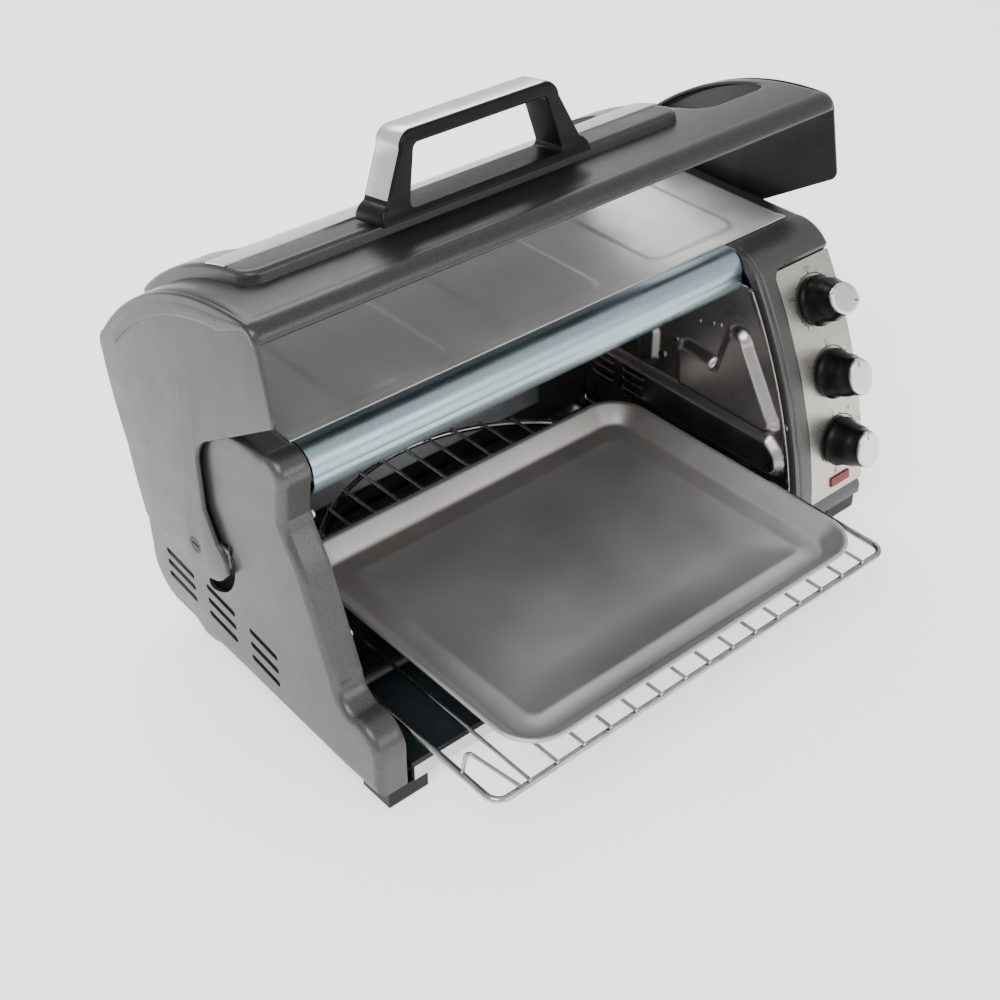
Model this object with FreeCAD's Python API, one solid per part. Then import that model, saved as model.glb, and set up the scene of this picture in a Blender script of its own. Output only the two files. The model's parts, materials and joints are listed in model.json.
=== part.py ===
import FreeCAD, Part
import math
import os
from FreeCAD import Vector

# Countertop toaster oven with a roll-top door, wire rack, baking pan and three knobs.
# Millimetres. +X to the user's right, +Y to the back, +Z up.
# The parts are drawn with y = 0 at the middle of the side covers, and save() moves them all back
# so that the origin is on the worktop, in the middle of everything the object covers at rest.
# Rest is with the door rolled back over the top and the rack and pan pulled forward.

# ---- driving dimensions ----
DOOR_WIDTH = 475.0          # over both door cheeks
CHEEK = 3.0                 # thickness of a door cheek
SIDE_X = 231.5              # outer face of the side covers
CAVITY_LEFT = -210.0        # cavity mouth
CAVITY_RIGHT = 154.0
WALL = 2.5                  # side cover wall
SHEET = 0.8                 # cavity liner sheet
LEFT_WALL = -209.0          # inner faces of the cavity's side walls
RIGHT_WALL = 153.0
BASE_Z = 13.0               # underside of the body
TOP_Z = 212.4               # top of the body
SEAM_Y = -31.0              # front edge of the top cover
BACK_Y = 113.0              # front face of the rear panel
FOOT_EAR = 185.0            # right edge of the base's ear for the rear foot
INLET_X, INLET_Z = 130.0, 84.0      # supply lead's inlet in the rear panel

# groups of cooling slots in the side covers: front end, back end, heights of the front ends
VENTS = ((-28.0, 2.5, (34.5, 45.5, 56.5)), (18.5, 51.0, (40.0, 51.0, 62.0)), (66.0, 99.0, (44.0, 54.0, 63.5)))
VENT_RISE = 4.0                     # each slot climbs this much to the back

# screws, rivets and heating elements on the cavity walls, each at (y, z)
RIVETS = ((-15.0, 144.5), (-28.0, 148.0), (-35.0, 149.5), (5.5, 120.0))
REAR_SCREWS = ((13.0, 67.5), (18.0, 100.8))
LEFT_SCREWS = ((-44.0, 168.0), (-74.0, 96.0))
RIGHT_SCREWS = ((-59.0, 187.0), (-102.0, 95.7))
ELEMENTS = {"upper_element_front": (-14.0, 176.0), "upper_element_rear": (62.0, 176.0),
            "lower_element_front": (-58.0, 33.0), "lower_element_rear": (26.0, 33.0)}

HINGE_Y, HINGE_Z = 47.7, 104.9      # door hinge axis
DOOR_SWING = 84.0                   # degrees from open to closed
GUIDE_R = 32.0                      # guide pin's distance from the hinge axis
GUIDE_OPEN_ANGLE = 168.0

SHELL_Y, SHELL_Z = 61.0, 17.0       # centre of the door shell's curve, door closed
SHELL_R = 222.0                     # outer radius of the door shell
SHELL_T = 2.2
FRAME_H = 8.0                       # height of the window surround above the shell

HANDLE_X = -43.7                    # middle of the handle
HANDLE_ANGLE = 164.8                # where it stands round the shell's curve
HANDLE_DEPTH = 25.0
HANDLE_H = 51.4                     # height above the surround

CONTROL_Y, CONTROL_Z = 283.3, -16.8  # centre of the control front's curve
CONTROL_R = 407.0
PLATE_R = 404.5                     # front of the faceplate
KNOB_X = 205.0
KNOB_HEIGHTS = {"temperature": 168.0, "function": 118.0, "timer": 67.0}
SHAFT_R = 3.0
LAMP_Z = 36.0

RACK_Z = 50.5
RACK_LEFT, RACK_RIGHT = -203.7, 144.9
RACK_FRONT, RACK_BACK, RACK_PEAK = -203.2, 36.0, 105.0
RACK_WIRE_R = 2.2
GRID_WIRE_R = 1.3
BUMP_X = -29.0                      # middle of the cavity, the pizza bump and the window
BUMP_RACK_R = 150.0                 # radius of the rack's rounded back
BUMP_R = 159.0                      # outer radius of the bump in the rear wall
BUMP_Y = 15.0

PAN_X0, PAN_X1 = -178.0, 126.0
PAN_Y0, PAN_Y1 = -201.0, 38.0
PAN_Z = RACK_Z + RACK_WIRE_R + 2 * GRID_WIRE_R + 0.4
PAN_RIM_Z = PAN_Z + 14.0

# middle of everything covered at rest, from the rack's front wire to the back of the bump
ORIGIN_Y = (RACK_FRONT - RACK_WIRE_R + BUMP_Y + BUMP_R) / 2

os.makedirs("parts", exist_ok=True)


# ---- helpers ----
def save(name, *solids):
    """Write one node; several solids become one group of separate solids."""
    placed = [solid.translated(Vector(0, -ORIGIN_Y, 0)) for solid in solids]
    shape = placed[0] if len(placed) == 1 else Part.makeCompound(placed)
    shape.exportStep("parts/" + name + ".step")


def outline(x, start, *steps):
    """Closed wire at one x from (y, z) points; a step (mid, end) is an arc, a point is a line."""
    here = Vector(x, *start)
    edges = []
    for step in steps:
        if isinstance(step[0], tuple):
            mid, end = Vector(x, *step[0]), Vector(x, *step[1])
            edges.append(Part.Arc(here, mid, end).toShape())
        else:
            end = Vector(x, *step)
            edges.append(Part.makeLine(here, end))
        here = end
    first = Vector(x, *start)
    if here.distanceToPoint(first) > 1e-6:
        edges.append(Part.makeLine(here, first))
    return Part.Wire(edges)


def prism(x0, x1, start, *steps):
    """Solid of constant side profile between two x planes."""
    return Part.Face(outline(x0, start, *steps)).extrude(Vector(x1 - x0, 0, 0))


def box(x0, x1, y0, y1, z0, z1):
    return Part.makeBox(x1 - x0, y1 - y0, z1 - z0, Vector(x0, y0, z0))


def rod(x0, x1, y, z, r):
    """Round bar along X."""
    return Part.makeCylinder(r, x1 - x0, Vector(x0, y, z), Vector(1, 0, 0))


def polar(cy, cz, r, degrees):
    a = math.radians(degrees)
    return (cy + r * math.cos(a), cz + r * math.sin(a))


def sector(x0, x1, cy, cz, r0, r1, a0, a1):
    """Curved slab about an X axis, between two radii and two angles in degrees."""
    mid = (a0 + a1) / 2
    return prism(x0, x1, polar(cy, cz, r0, a0), polar(cy, cz, r1, a0),
                 (polar(cy, cz, r1, mid), polar(cy, cz, r1, a1)), polar(cy, cz, r0, a1),
                 (polar(cy, cz, r0, mid), polar(cy, cz, r0, a0)))


def shell_sector(x0, x1, r0, r1, a0, a1):
    return sector(x0, x1, SHELL_Y, SHELL_Z, r0, r1, a0, a1)


def pipe(points, r, bend=0.0):
    """Wire through the points, its inner corners rounded to the bend radius."""
    pts = [Vector(*p) for p in points]
    edges = []
    here = pts[0]
    for before, corner, after in zip(pts, pts[1:], pts[2:]):
        a = (before - corner).normalize()
        b = (after - corner).normalize()
        half = a.getAngle(b) / 2
        reach = bend / math.tan(half)
        inward = (a + b).normalize()
        start, end = corner + a * reach, corner + b * reach
        mid = corner + inward * (bend / math.sin(half) - bend)
        edges.append(Part.makeLine(here, start))
        edges.append(Part.Arc(start, mid, end).toShape())
        here = end
    edges.append(Part.makeLine(here, pts[-1]))
    return sweep(edges, pts[0], pts[1] - pts[0], r)


def sweep(edges, start, direction, r):
    ring = Part.Wire(Part.makeCircle(r, start, direction))
    return Part.Wire(edges).makePipeShell([ring], True, True)


def mirrored(shape):
    return shape.mirror(Vector(0, 0, 0), Vector(1, 0, 0))


def opened(shape):
    """Turn a piece drawn with the door closed to its place with the door open."""
    turned = shape.copy()
    turned.rotate(Vector(0, HINGE_Y, HINGE_Z), Vector(1, 0, 0), -DOOR_SWING)
    return turned


def holes_along_x(shape, x0, x1, centres, r):
    for y, z in centres:
        shape = shape.cut(rod(x0, x1, y, z, r))
    return shape


def seat(shape, height):
    """Move a piece drawn about +Z to a knob's place, square to the control front."""
    y = CONTROL_Y - math.sqrt(PLATE_R ** 2 - (height - CONTROL_Z) ** 2)
    tilt = math.degrees(math.acos((height - CONTROL_Z) / PLATE_R))
    placed = shape.copy()
    placed.Placement = FreeCAD.Placement(Vector(KNOB_X, y, height), FreeCAD.Rotation(Vector(1, 0, 0), tilt))
    return placed


# ---- body ----
def rear_steps(inset, base_inset):
    """Side cover's outline from its base, past a low step, round the rear corner and up to the top."""
    base = BASE_Z + base_inset
    return ((-90.0, base), (42.0, base + 6.0), (50.0, base + 3.0), (62.0, base + 2.6), (72.0, base + 9.0),
            (97.0, base + 10.0),
            ((114.0 - inset, base + 20.0), (122.0 - inset, 60.0)),
            ((123.0 - 1.1 * inset, 100.0), (118.0 - 1.2 * inset, 150.0)),
            ((114.0 - 1.2 * inset, 196.0 - inset), (94.0, TOP_Z - inset)))


def vents(cover, x0, x1):
    for y0, y1, heights in VENTS:
        for z in heights:
            cover = cover.cut(prism(x0, x1, (y0, z - 2.3), (y1, z - 2.3 + VENT_RISE), (y1, z + 2.3 + VENT_RISE),
                                    (y0, z + 2.3)))
    return cover


def guide_slot(x0, x1):
    """Curved slot that the door's guide pin runs in."""
    return sector(x0, x1, HINGE_Y, HINGE_Z, GUIDE_R - 4.0, GUIDE_R + 4.0,
                  GUIDE_OPEN_ANGLE - 8.0, GUIDE_OPEN_ANGLE + DOOR_SWING + 8.0)


def left_casing():
    """Hollow cover of the left side, open towards the cavity."""
    outer = prism(-SIDE_X, CAVITY_LEFT, (SEAM_Y, TOP_Z), ((-49.0, 207.0), (-50.0, 196.0)),
                  ((-48.0, 184.0), (-46.6, 171.5)), (-63.0, 145.0), (-89.0, 78.0),
                  ((-94.0, 66.0), (-104.0, 61.0)), ((-122.0, 57.0), (-129.0, 45.0)),
                  (-129.0, BASE_Z), *rear_steps(0.0, 0.0))
    hollow = prism(-SIDE_X + WALL, CAVITY_LEFT + 1, (SEAM_Y, TOP_Z - WALL),
                   ((-46.0, 205.0), (-47.0, 196.0)), (-43.6, 170.0), (-60.0, 143.0), (-86.5, 78.0),
                   ((-92.0, 64.0), (-103.0, 58.4)), ((-120.0, 55.0), (-126.4, 44.0)),
                   (-126.4, BASE_Z + WALL), *rear_steps(WALL, WALL))
    cover = outer.cut(hollow)
    cover = vents(cover, -SIDE_X - 1, -SIDE_X + WALL + 1)
    cover = cover.cut(guide_slot(-SIDE_X - 1, -SIDE_X + WALL + 1))
    return cover.cut(rod(-SIDE_X - 1, -SIDE_X + WALL + 1, HINGE_Y, HINGE_Z, 6.0))


def control_point(r, z):
    return (CONTROL_Y - math.sqrt(r ** 2 - (z - CONTROL_Z) ** 2), z)


def right_casing():
    """Hollow cover of the control side, with the recess for the faceplate in its front."""
    under_cover = 1.4
    outer = prism(CAVITY_RIGHT, SIDE_X, (SEAM_Y, TOP_Z - under_cover),
                  ((-50.0, 208.5), control_point(CONTROL_R, 198.0)),
                  (control_point(CONTROL_R, 121.0), control_point(CONTROL_R, 40.0)), (-120.0, BASE_Z),
                  *rear_steps(under_cover, 0.0))
    inner_r = PLATE_R - 4.7
    hollow = prism(CAVITY_RIGHT - 1, SIDE_X - WALL, (SEAM_Y, TOP_Z - under_cover - WALL),
                   control_point(inner_r, 196.0),
                   (control_point(inner_r, 121.0), control_point(inner_r, 40.0)), (-113.0, BASE_Z + WALL),
                   *rear_steps(under_cover + WALL, WALL))
    low = math.degrees(math.asin((24.0 - CONTROL_Z) / CONTROL_R))
    high = math.degrees(math.asin((197.0 - CONTROL_Z) / CONTROL_R))
    recess = sector(173.0, SIDE_X + 1, CONTROL_Y, CONTROL_Z, PLATE_R - 2.2, CONTROL_R + 6,
                    180 - low, 180 - high)
    cover = outer.cut(hollow).cut(recess)
    for height in KNOB_HEIGHTS.values():
        cover = cover.cut(seat(Part.makeCylinder(5.0, 30.0, Vector(0, 0, -15)), height))
    cover = cover.cut(lamp_block(0.4, -12.0, 10.0))
    cover = vents(cover, SIDE_X - WALL - 1, SIDE_X + 1)
    cover = cover.cut(guide_slot(SIDE_X - WALL - 1, SIDE_X + 1))
    return cover.cut(rod(SIDE_X - WALL - 1, SIDE_X + 1, HINGE_Y, HINGE_Z, 6.0))


def lamp_block(grow, low, high):
    """Block for the indicator lamp, square to the control front, between two depths."""
    return seat(Part.makeBox(20.0 + 2 * grow, 7.0 + 2 * grow, high - low,
                             Vector(-10.0 - grow, -3.5 - grow, low)), LAMP_Z)


def control_sector(x0, x1, r0, r1, z0, z1):
    low = math.degrees(math.asin((z0 - CONTROL_Z) / PLATE_R))
    high = math.degrees(math.asin((z1 - CONTROL_Z) / PLATE_R))
    return sector(x0, x1, CONTROL_Y, CONTROL_Z, r0, r1, 180 - low, 180 - high)


def control_faceplate():
    plate = control_sector(174.0, 231.0, PLATE_R - 2.0, PLATE_R, 26.0, 195.0)
    for height in KNOB_HEIGHTS.values():
        plate = plate.cut(seat(Part.makeCylinder(5.0, 30.0, Vector(0, 0, -15)), height))
    return plate.cut(lamp_block(0.2, -12.0, 10.0))


def control_bracket():
    bracket = control_sector(178.0, 227.0, PLATE_R - 6.2, PLATE_R - 5.0, 44.0, 190.0)
    for height in KNOB_HEIGHTS.values():
        bracket = bracket.cut(seat(Part.makeCylinder(5.0, 30.0, Vector(0, 0, -15)), height))
    return bracket


def top_cover():
    """Sheet over the body, its front hem at the seam and its back rolled down to the rear panel."""
    return prism(CAVITY_LEFT + 0.3, 219.0, (SEAM_Y + 0.3, TOP_Z), (94.0, TOP_Z),
                 ((114.0, 196.0), (118.0, 150.0)), (116.9, 150.0), ((112.9, 195.4), (94.0, TOP_Z - 1.1)),
                 (SEAM_Y + 0.3, TOP_Z - 1.1))


def front_top_rail():
    return prism(LEFT_WALL + 0.3, RIGHT_WALL - 0.3, (SEAM_Y, TOP_Z), ((-47.5, 207.0), (-50.5, 196.0)),
                 ((-50.0, 188.0), (-44.0, 181.5)), (-38.0, 183.5), (-38.0, 184.7), (-43.6, 182.8),
                 ((-48.8, 188.4), (-49.3, 196.0)), ((-46.5, 206.0), (SEAM_Y, TOP_Z - 1.2)))


def base_pan():
    """Floor sheet with cooling slots, turned up at the back and sides; an ear carries the right rear foot."""
    x0, x1 = CAVITY_LEFT + 0.3, CAVITY_RIGHT - 0.3
    floor = box(x0, x1, -121, 112.8, BASE_Z, BASE_Z + 1.2)
    ear = box(x1, FOOT_EAR, 66, 112.8, BASE_Z, BASE_Z + 1.2)
    rear_lip = box(x0, x1, 111.8, 112.8, BASE_Z + 1.2, 37.2)
    sides = [box(x0, x0 + 1.2, 38, 111.8, BASE_Z + 1.2, 21.8), box(x1 - 1.2, x1, 38, 111.8, BASE_Z + 1.2, 21.8)]
    slots = [box(x, x + 36, y, y + 4, BASE_Z - 1, BASE_Z + 3)
             for x in range(-170, 110, 55) for y in range(-60, 80, 30)]
    return floor.fuse([ear, rear_lip] + sides).cut(Part.makeCompound(slots))


def rear_panel():
    """Rear wall sheet with a row of cooling slots, the bump's cut-out and the inlet hole."""
    half = 126.0
    plate = box(CAVITY_LEFT + 0.3, CAVITY_RIGHT - 0.3, BACK_Y, BACK_Y + 1.0, 37.4, 149.8)
    plate = plate.cut(box(BUMP_X - half, BUMP_X + half, BACK_Y - 1, BACK_Y + 2, 37.0, 122.4))
    slots = [box(x, x + 4, BACK_Y - 1, BACK_Y + 2, 128.0, 144.0) for x in range(-185, 140, 12)]
    plate = plate.cut(Part.makeCompound(slots))
    return plate.cut(Part.makeCylinder(7.0, 4, Vector(INLET_X, BACK_Y - 1, INLET_Z), Vector(0, 1, 0)))


def rear_bump():
    """Half-round bulge in the rear wall that lets a round pizza slide all the way in."""
    drum = Part.makeCylinder(BUMP_R, 84.0, Vector(BUMP_X, BUMP_Y, 38.0))
    inner = Part.makeCylinder(BUMP_R - 1.5, 81.6, Vector(BUMP_X, BUMP_Y, 39.2))
    return drum.cut(inner).common(box(-200, 200, 100.3, 200, 30, 130))


def foot(x, y):
    """Moulded foot, slightly narrower at the bottom."""
    top = Part.Face(Part.makePolygon([Vector(x + sx, y + sy, BASE_Z - 0.05) for sx, sy in
                                      ((-15, -13), (15, -13), (15, 13), (-15, 13), (-15, -13))]))
    block = top.extrude(Vector(0, 0, -BASE_Z + 0.05))
    return block.makeChamfer(1.5, [e for e in block.Edges if e.BoundBox.ZMax < 1.0])


# ---- cavity ----
def liner_wall(x0, x1, *front):
    """Side wall of the cavity; its front edge follows the side cover."""
    wall = prism(x0, x1, *front, (-112.0, 22.0), (98.0, 22.0), (98.0, 190.0))
    return holes_along_x(wall, x0 - 1, x1 + 1, ELEMENTS.values(), 5.2)


def liner_left():
    wall = liner_wall(LEFT_WALL - SHEET, LEFT_WALL, (-44.0, 190.0), (-43.0, 172.0), (-59.0, 145.0),
                      (-85.0, 77.0), ((-92.0, 63.0), (-104.0, 57.0)), (-112.0, 54.0))
    ledge = box(LEFT_WALL, -200.0, -84.0, 96.0, 46.0, 47.0)
    return wall.fuse(ledge)


def liner_right():
    edge_r = CONTROL_R - 3.0
    wall = liner_wall(RIGHT_WALL, RIGHT_WALL + SHEET, (-36.0, 190.0), control_point(edge_r, 190.0),
                      (control_point(edge_r, 112.0), control_point(edge_r, 34.0)))
    ledge = box(143.0, RIGHT_WALL, -84.0, 96.0, 46.0, 47.0)
    louvres = [box(RIGHT_WALL - 1, RIGHT_WALL + 2, y, y + 22, z, z + 3)
               for y in (30.0, 62.0) for z in (58.0, 66.0, 74.0)]
    return wall.fuse(ledge).cut(Part.makeCompound(louvres))


def liner_ceiling():
    return box(LEFT_WALL - SHEET, RIGHT_WALL + SHEET, -36.0, 99.0, 190.2, 190.2 + SHEET)


def liner_back():
    """Rear wall of the cavity with the mouth of the pizza bump."""
    wall = box(LEFT_WALL - SHEET, RIGHT_WALL + SHEET, 99.2, 99.2 + SHEET, 22.0, 190.0)
    return wall.cut(box(BUMP_X - 132, BUMP_X + 132, 98, 102, 39.2, 120.8))


def element(y, z):
    tube = rod(-216.0, 160.0, y, z, 4.0)
    tails = [rod(-222.0, -216.0, y, z, 1.5), rod(160.0, 166.0, y, z, 1.5)]
    return tube.fuse(tails)


def element_insulators():
    """Ceramic collars that hold the element ends in the cavity walls."""
    rings = []
    for y, z in ELEMENTS.values():
        for x0, x1 in ((-213.6, LEFT_WALL - SHEET - 0.1), (RIGHT_WALL + SHEET + 0.1, 157.6)):
            rings.append(rod(x0, x1, y, z, 8.0).cut(rod(x0 - 1, x1 + 1, y, z, 4.0)))
    return rings


def liner_fasteners():
    """Screw and rivet heads on both cavity walls."""
    heads = []
    for centres, r, proud in ((RIVETS, 1.8, 0.9), (REAR_SCREWS, 3.2, 1.4)):
        for y, z in centres:
            heads.append(rod(RIGHT_WALL - proud, RIGHT_WALL, y, z, r))
            heads.append(rod(LEFT_WALL, LEFT_WALL + proud, y, z, r))
    heads += [rod(LEFT_WALL, LEFT_WALL + 1.4, y, z, 3.2) for y, z in LEFT_SCREWS]
    heads += [rod(RIGHT_WALL - 1.4, RIGHT_WALL, y, z, 3.2) for y, z in RIGHT_SCREWS]
    return heads


def casing_screws():
    """Screws that hold the side covers, seen from the back."""
    return [Part.makeCylinder(3.6, 1.6, Vector(x, BACK_Y + 1.0, 108.0), Vector(0, 1, 0))
            for x in (-196.0, 144.0)]


# ---- controls ----
def thermostat():
    body = Part.makeBox(34, 24, 15, Vector(-17, -12, -22))
    return control_with_neck(body)


def function_switch():
    body = Part.makeCylinder(16, 15, Vector(0, 0, -22))
    return control_with_neck(body)


def timer():
    body = Part.makeBox(38, 36, 15, Vector(-19, -18, -22))
    return control_with_neck(body)


def control_with_neck(body):
    """Control body behind the bracket, with the threaded neck that its shaft turns in."""
    neck = Part.makeCylinder(4.4, 8.2, Vector(0, 0, -7.4))
    bore = Part.makeCylinder(SHAFT_R + 0.06, 18, Vector(0, 0, -16.5))
    return body.fuse(neck).cut(bore)


def control_nuts():
    ring = Part.makeCylinder(7.0, 1.3, Vector(0, 0, 0.3)).cut(Part.makeCylinder(4.4, 3, Vector(0, 0, -0.5)))
    return [seat(ring, height) for height in KNOB_HEIGHTS.values()]


def shaft():
    return Part.makeCylinder(SHAFT_R, 32.0, Vector(0, 0, -16.0))


def knob_body():
    """Flared base, waisted barrel; a blind bore takes the shaft."""
    points = [Vector(0, 0, 2.2), Vector(18.5, 0, 2.2), Vector(18.5, 0, 4.5)]
    base = Part.makePolygon(points).Edges
    flare = Part.Arc(points[-1], Vector(16.6, 0, 7.5), Vector(15.8, 0, 12.0)).toShape()
    barrel = Part.makePolygon([Vector(15.8, 0, 12.0), Vector(14.6, 0, 24.0), Vector(0, 0, 24.0),
                               Vector(0, 0, 2.2)]).Edges
    body = Part.Face(Part.Wire(base + [flare] + barrel)).revolve(Vector(0, 0, 0), Vector(0, 0, 1), 360)
    return body.cut(Part.makeCylinder(SHAFT_R, 20, Vector(0, 0, -4)))


def knob_cap():
    """Bright cap on the knob's face."""
    return Part.makeCone(14.4, 12.6, 4.6, Vector(0, 0, 24.05))


def timer_bell():
    dome = Part.makeCone(14.0, 9.0, 6.0, Vector(0, 0, -31.0), Vector(0, 0, 1))
    post = Part.makeCylinder(2.0, 3.0, Vector(0, 0, -25.0))
    return dome.fuse(post)


def terminal_block():
    return box(176, 206, 60, 74, 62, 76)


def wiring_harness():
    """Insulated leads from the inlet and the controls to the terminal block."""
    runs = [((INLET_X, 110.4, INLET_Z), (INLET_X + 4, 106.4, INLET_Z), (178.0, 96.0, 78.0),
             (183.0, 75.6, 70.0)),
            ((200.0, 58.6, 68.0), (200.0, -20.0, 66.0), (204.0, -78.0, 72.0)),
            ((192.0, 58.6, 68.0), (192.0, -10.0, 110.0), (204.0, -64.0, 118.0)),
            ((184.0, 58.6, 68.0), (184.0, 0.0, 140.0), (200.0, -46.0, 156.0))]
    return [pipe(run, 1.4, 3.0) for run in runs]


def cord_bushing():
    """Strain-relief bush in the rear panel where the supply lead would enter."""
    flange = Part.makeCylinder(10.0, 3.0, Vector(INLET_X, BACK_Y + 1.0, INLET_Z), Vector(0, 1, 0))
    neck = Part.makeCylinder(6.9, 3.0, Vector(INLET_X, BACK_Y - 1.0, INLET_Z), Vector(0, 1, 0))
    bore = Part.makeCylinder(4.0, 20.0, Vector(INLET_X, BACK_Y - 8.0, INLET_Z), Vector(0, 1, 0))
    return flange.fuse(neck).cut(bore)


# ---- door, drawn closed and turned open ----
def shell_profile(x0, x1):
    top = 126.0
    inner = SHELL_R - SHELL_T
    return prism(x0, x1, (-151.5, 28.0), ((-158.6, 33.0), polar(SHELL_Y, SHELL_Z, SHELL_R, 173.5)),
                 (polar(SHELL_Y, SHELL_Z, SHELL_R, 148.0), polar(SHELL_Y, SHELL_Z, SHELL_R, top)),
                 polar(SHELL_Y, SHELL_Z, inner, top),
                 (polar(SHELL_Y, SHELL_Z, inner, 148.0), polar(SHELL_Y, SHELL_Z, inner, 173.5)),
                 ((-156.8, 34.8), (-150.6, 30.0)))


def door_shell():
    """Curved outer skin with the window opening and the opening over the controls."""
    edge = DOOR_WIDTH / 2 - CHEEK
    skin = shell_profile(-edge, edge)
    window = shell_sector(-188.0, 110.0, SHELL_R - 5, SHELL_R + 5, 153.6, 131.4)
    controls = shell_sector(152.0, 223.0, SHELL_R - 5, SHELL_R + 5, 165.4, 129.0)
    return skin.cut(window).cut(controls)


def door_cheek():
    """Right end plate of the door, with the arm down to its hinge."""
    front = polar(SHELL_Y, SHELL_Z, SHELL_R, 173.5)
    top = polar(SHELL_Y, SHELL_Z, SHELL_R, 124.0)
    bulge = polar(SHELL_Y, SHELL_Z, SHELL_R, 148.0)
    edge = DOOR_WIDTH / 2
    plate = prism(edge - CHEEK, edge, (-151.5, 28.0), ((-158.6, 33.0), front), (bulge, top),
                  ((-53.0, 206.8), (-44.0, 205.0)), (16.0, 183.0), (60.0, 168.5),
                  ((68.0, 163.0), (69.5, 154.0)), (67.0, 104.0), ((58.0, 78.0), (47.0, 68.5)),
                  ((38.0, 71.0), (30.0, 80.0)), (10.0, 92.5), (-24.0, 96.5), ((-38.0, 94.0), (-50.0, 83.0)),
                  (-101.0, 18.5), ((-105.0, 15.2), (-111.0, 15.6)))
    return plate.cut(rod(edge - CHEEK - 1, edge + 1, HINGE_Y, HINGE_Z, 6.06))


def hinge_plate():
    """Steel plate behind the right arm; it carries the guide pin."""
    x1 = DOOR_WIDTH / 2 - CHEEK
    plate = prism(x1 - 1.4, x1, (-14.0, 112.0), (30.0, 84.0), (30.0, 72.0), (44.0, 70.0),
                  ((62.0, 96.0), (62.0, 120.0)), (50.0, 158.0), (0.0, 176.0))
    return plate.cut(rod(x1 - 3, x1 + 1, HINGE_Y, HINGE_Z, 6.06))


def guide_pin():
    y, z = polar(HINGE_Y, HINGE_Z, GUIDE_R, GUIDE_OPEN_ANGLE + DOOR_SWING)
    x1 = DOOR_WIDTH / 2 - CHEEK - 1.4
    return rod(x1 - 6.5, x1, y, z, 3.0)


def hinge_pin():
    """Right hinge pin, fixed in the side cover; the arm turns on it."""
    shank = rod(SIDE_X - 8.0, DOOR_WIDTH / 2 - 0.6, HINGE_Y, HINGE_Z, 6.0)
    slot = box(DOOR_WIDTH / 2 - 1.8, DOOR_WIDTH / 2, HINGE_Y - 4, HINGE_Y + 4, HINGE_Z - 0.6, HINGE_Z + 0.6)
    return shank.cut(slot)


def hinge_retainer():
    """Ring pressed on the hinge pin inside the right side cover."""
    ring = rod(SIDE_X - 5.5, SIDE_X - WALL - 0.2, HINGE_Y, HINGE_Z, 10.0)
    return ring.cut(rod(SIDE_X - 9, SIDE_X, HINGE_Y, HINGE_Z, 6.0))


def window_surround():
    """Raised frame around the window; its front edge slopes down to the shell."""
    r0, r1 = SHELL_R, SHELL_R + FRAME_H
    frame = prism(-213.0, 133.0, polar(SHELL_Y, SHELL_Z, r0, 165.6), polar(SHELL_Y, SHELL_Z, r1, 163.6),
                  (polar(SHELL_Y, SHELL_Z, r1, 146.0), polar(SHELL_Y, SHELL_Z, r1, 130.4)),
                  polar(SHELL_Y, SHELL_Z, r0, 128.4),
                  (polar(SHELL_Y, SHELL_Z, r0, 146.0), polar(SHELL_Y, SHELL_Z, r0, 165.6)))
    return frame.cut(shell_sector(-184.0, 106.0, r0 - 2, r1 + 2, 153.0, 132.0))


def window_glass():
    return shell_sector(-183.5, 105.5, SHELL_R + 1.0, SHELL_R + 5.0, 152.8, 132.2)


def glass_retainer():
    """Pressed frame inside the shell that holds the glass."""
    r1 = SHELL_R - SHELL_T - 0.1
    frame = shell_sector(-200.0, 122.0, r1 - 1.2, r1, 156.0, 129.4)
    return frame.cut(shell_sector(-180.0, 102.0, r1 - 4, r1 + 2, 152.6, 132.4))


def window_trim():
    """Bright strip across the surround, just above the handle."""
    return shell_sector(-211.0, 131.0, SHELL_R + FRAME_H + 0.05, SHELL_R + FRAME_H + 1.0, 159.6, 154.2)


def handle_loop(half_low, half_high, low, high, depth, round_r):
    """Upright trapezoid block about HANDLE_X, square to the door where the handle stands."""
    corners = [Vector(-half_low, -depth / 2, low), Vector(half_low, -depth / 2, low),
               Vector(half_high, -depth / 2, high), Vector(-half_high, -depth / 2, high)]
    block = Part.Face(Part.makePolygon(corners + corners[:1])).extrude(Vector(0, depth, 0))
    upper = [e for e in block.Edges if e.BoundBox.ZMin > high - 0.1 and e.BoundBox.XLength < 0.1]
    return block.makeFillet(round_r, upper)


def on_door(shape):
    """Place a piece drawn about +Z on the surround's curve at the handle's angle."""
    y, z = polar(SHELL_Y, SHELL_Z, SHELL_R + FRAME_H, HANDLE_ANGLE)
    placed = shape.copy()
    turn = FreeCAD.Rotation(Vector(1, 0, 0), HANDLE_ANGLE - 90.0)
    placed.Placement = FreeCAD.Placement(Vector(HANDLE_X, y, z), turn)
    return placed


def handle_trim_local():
    """Bright band let into the top and the outer sides of the grip."""
    outer = handle_loop(76.3, 56.4, 9.0, HANDLE_H, 21.0, 9.0)
    inner = handle_loop(75.3, 55.6, 8.0, HANDLE_H - 0.9, 23.0, 8.2)
    return outer.cut(inner)


def handle_grip():
    """Pull handle: an upright loop on two square feet."""
    outer = handle_loop(80.0, 56.4, 1.2, HANDLE_H, HANDLE_DEPTH, 9.0)
    feet = box(-81.3, -60.0, -16.0, 16.0, 1.2, 7.0).fuse(box(60.0, 81.3, -16.0, 16.0, 1.2, 7.0))
    grip_gap = handle_loop(59.3, 50.5, 6.3, 42.6, HANDLE_DEPTH + 4, 4.0)
    return outer.fuse(feet).cut(grip_gap).cut(handle_trim_local())


def handle_screws():
    """Screws from inside the door into the two handle feet."""
    return [Part.makeCylinder(4.5, 2.0, Vector(x, 0, -FRAME_H - SHELL_T - 2.3)) for x in (-72.0, 72.0)]


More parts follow.
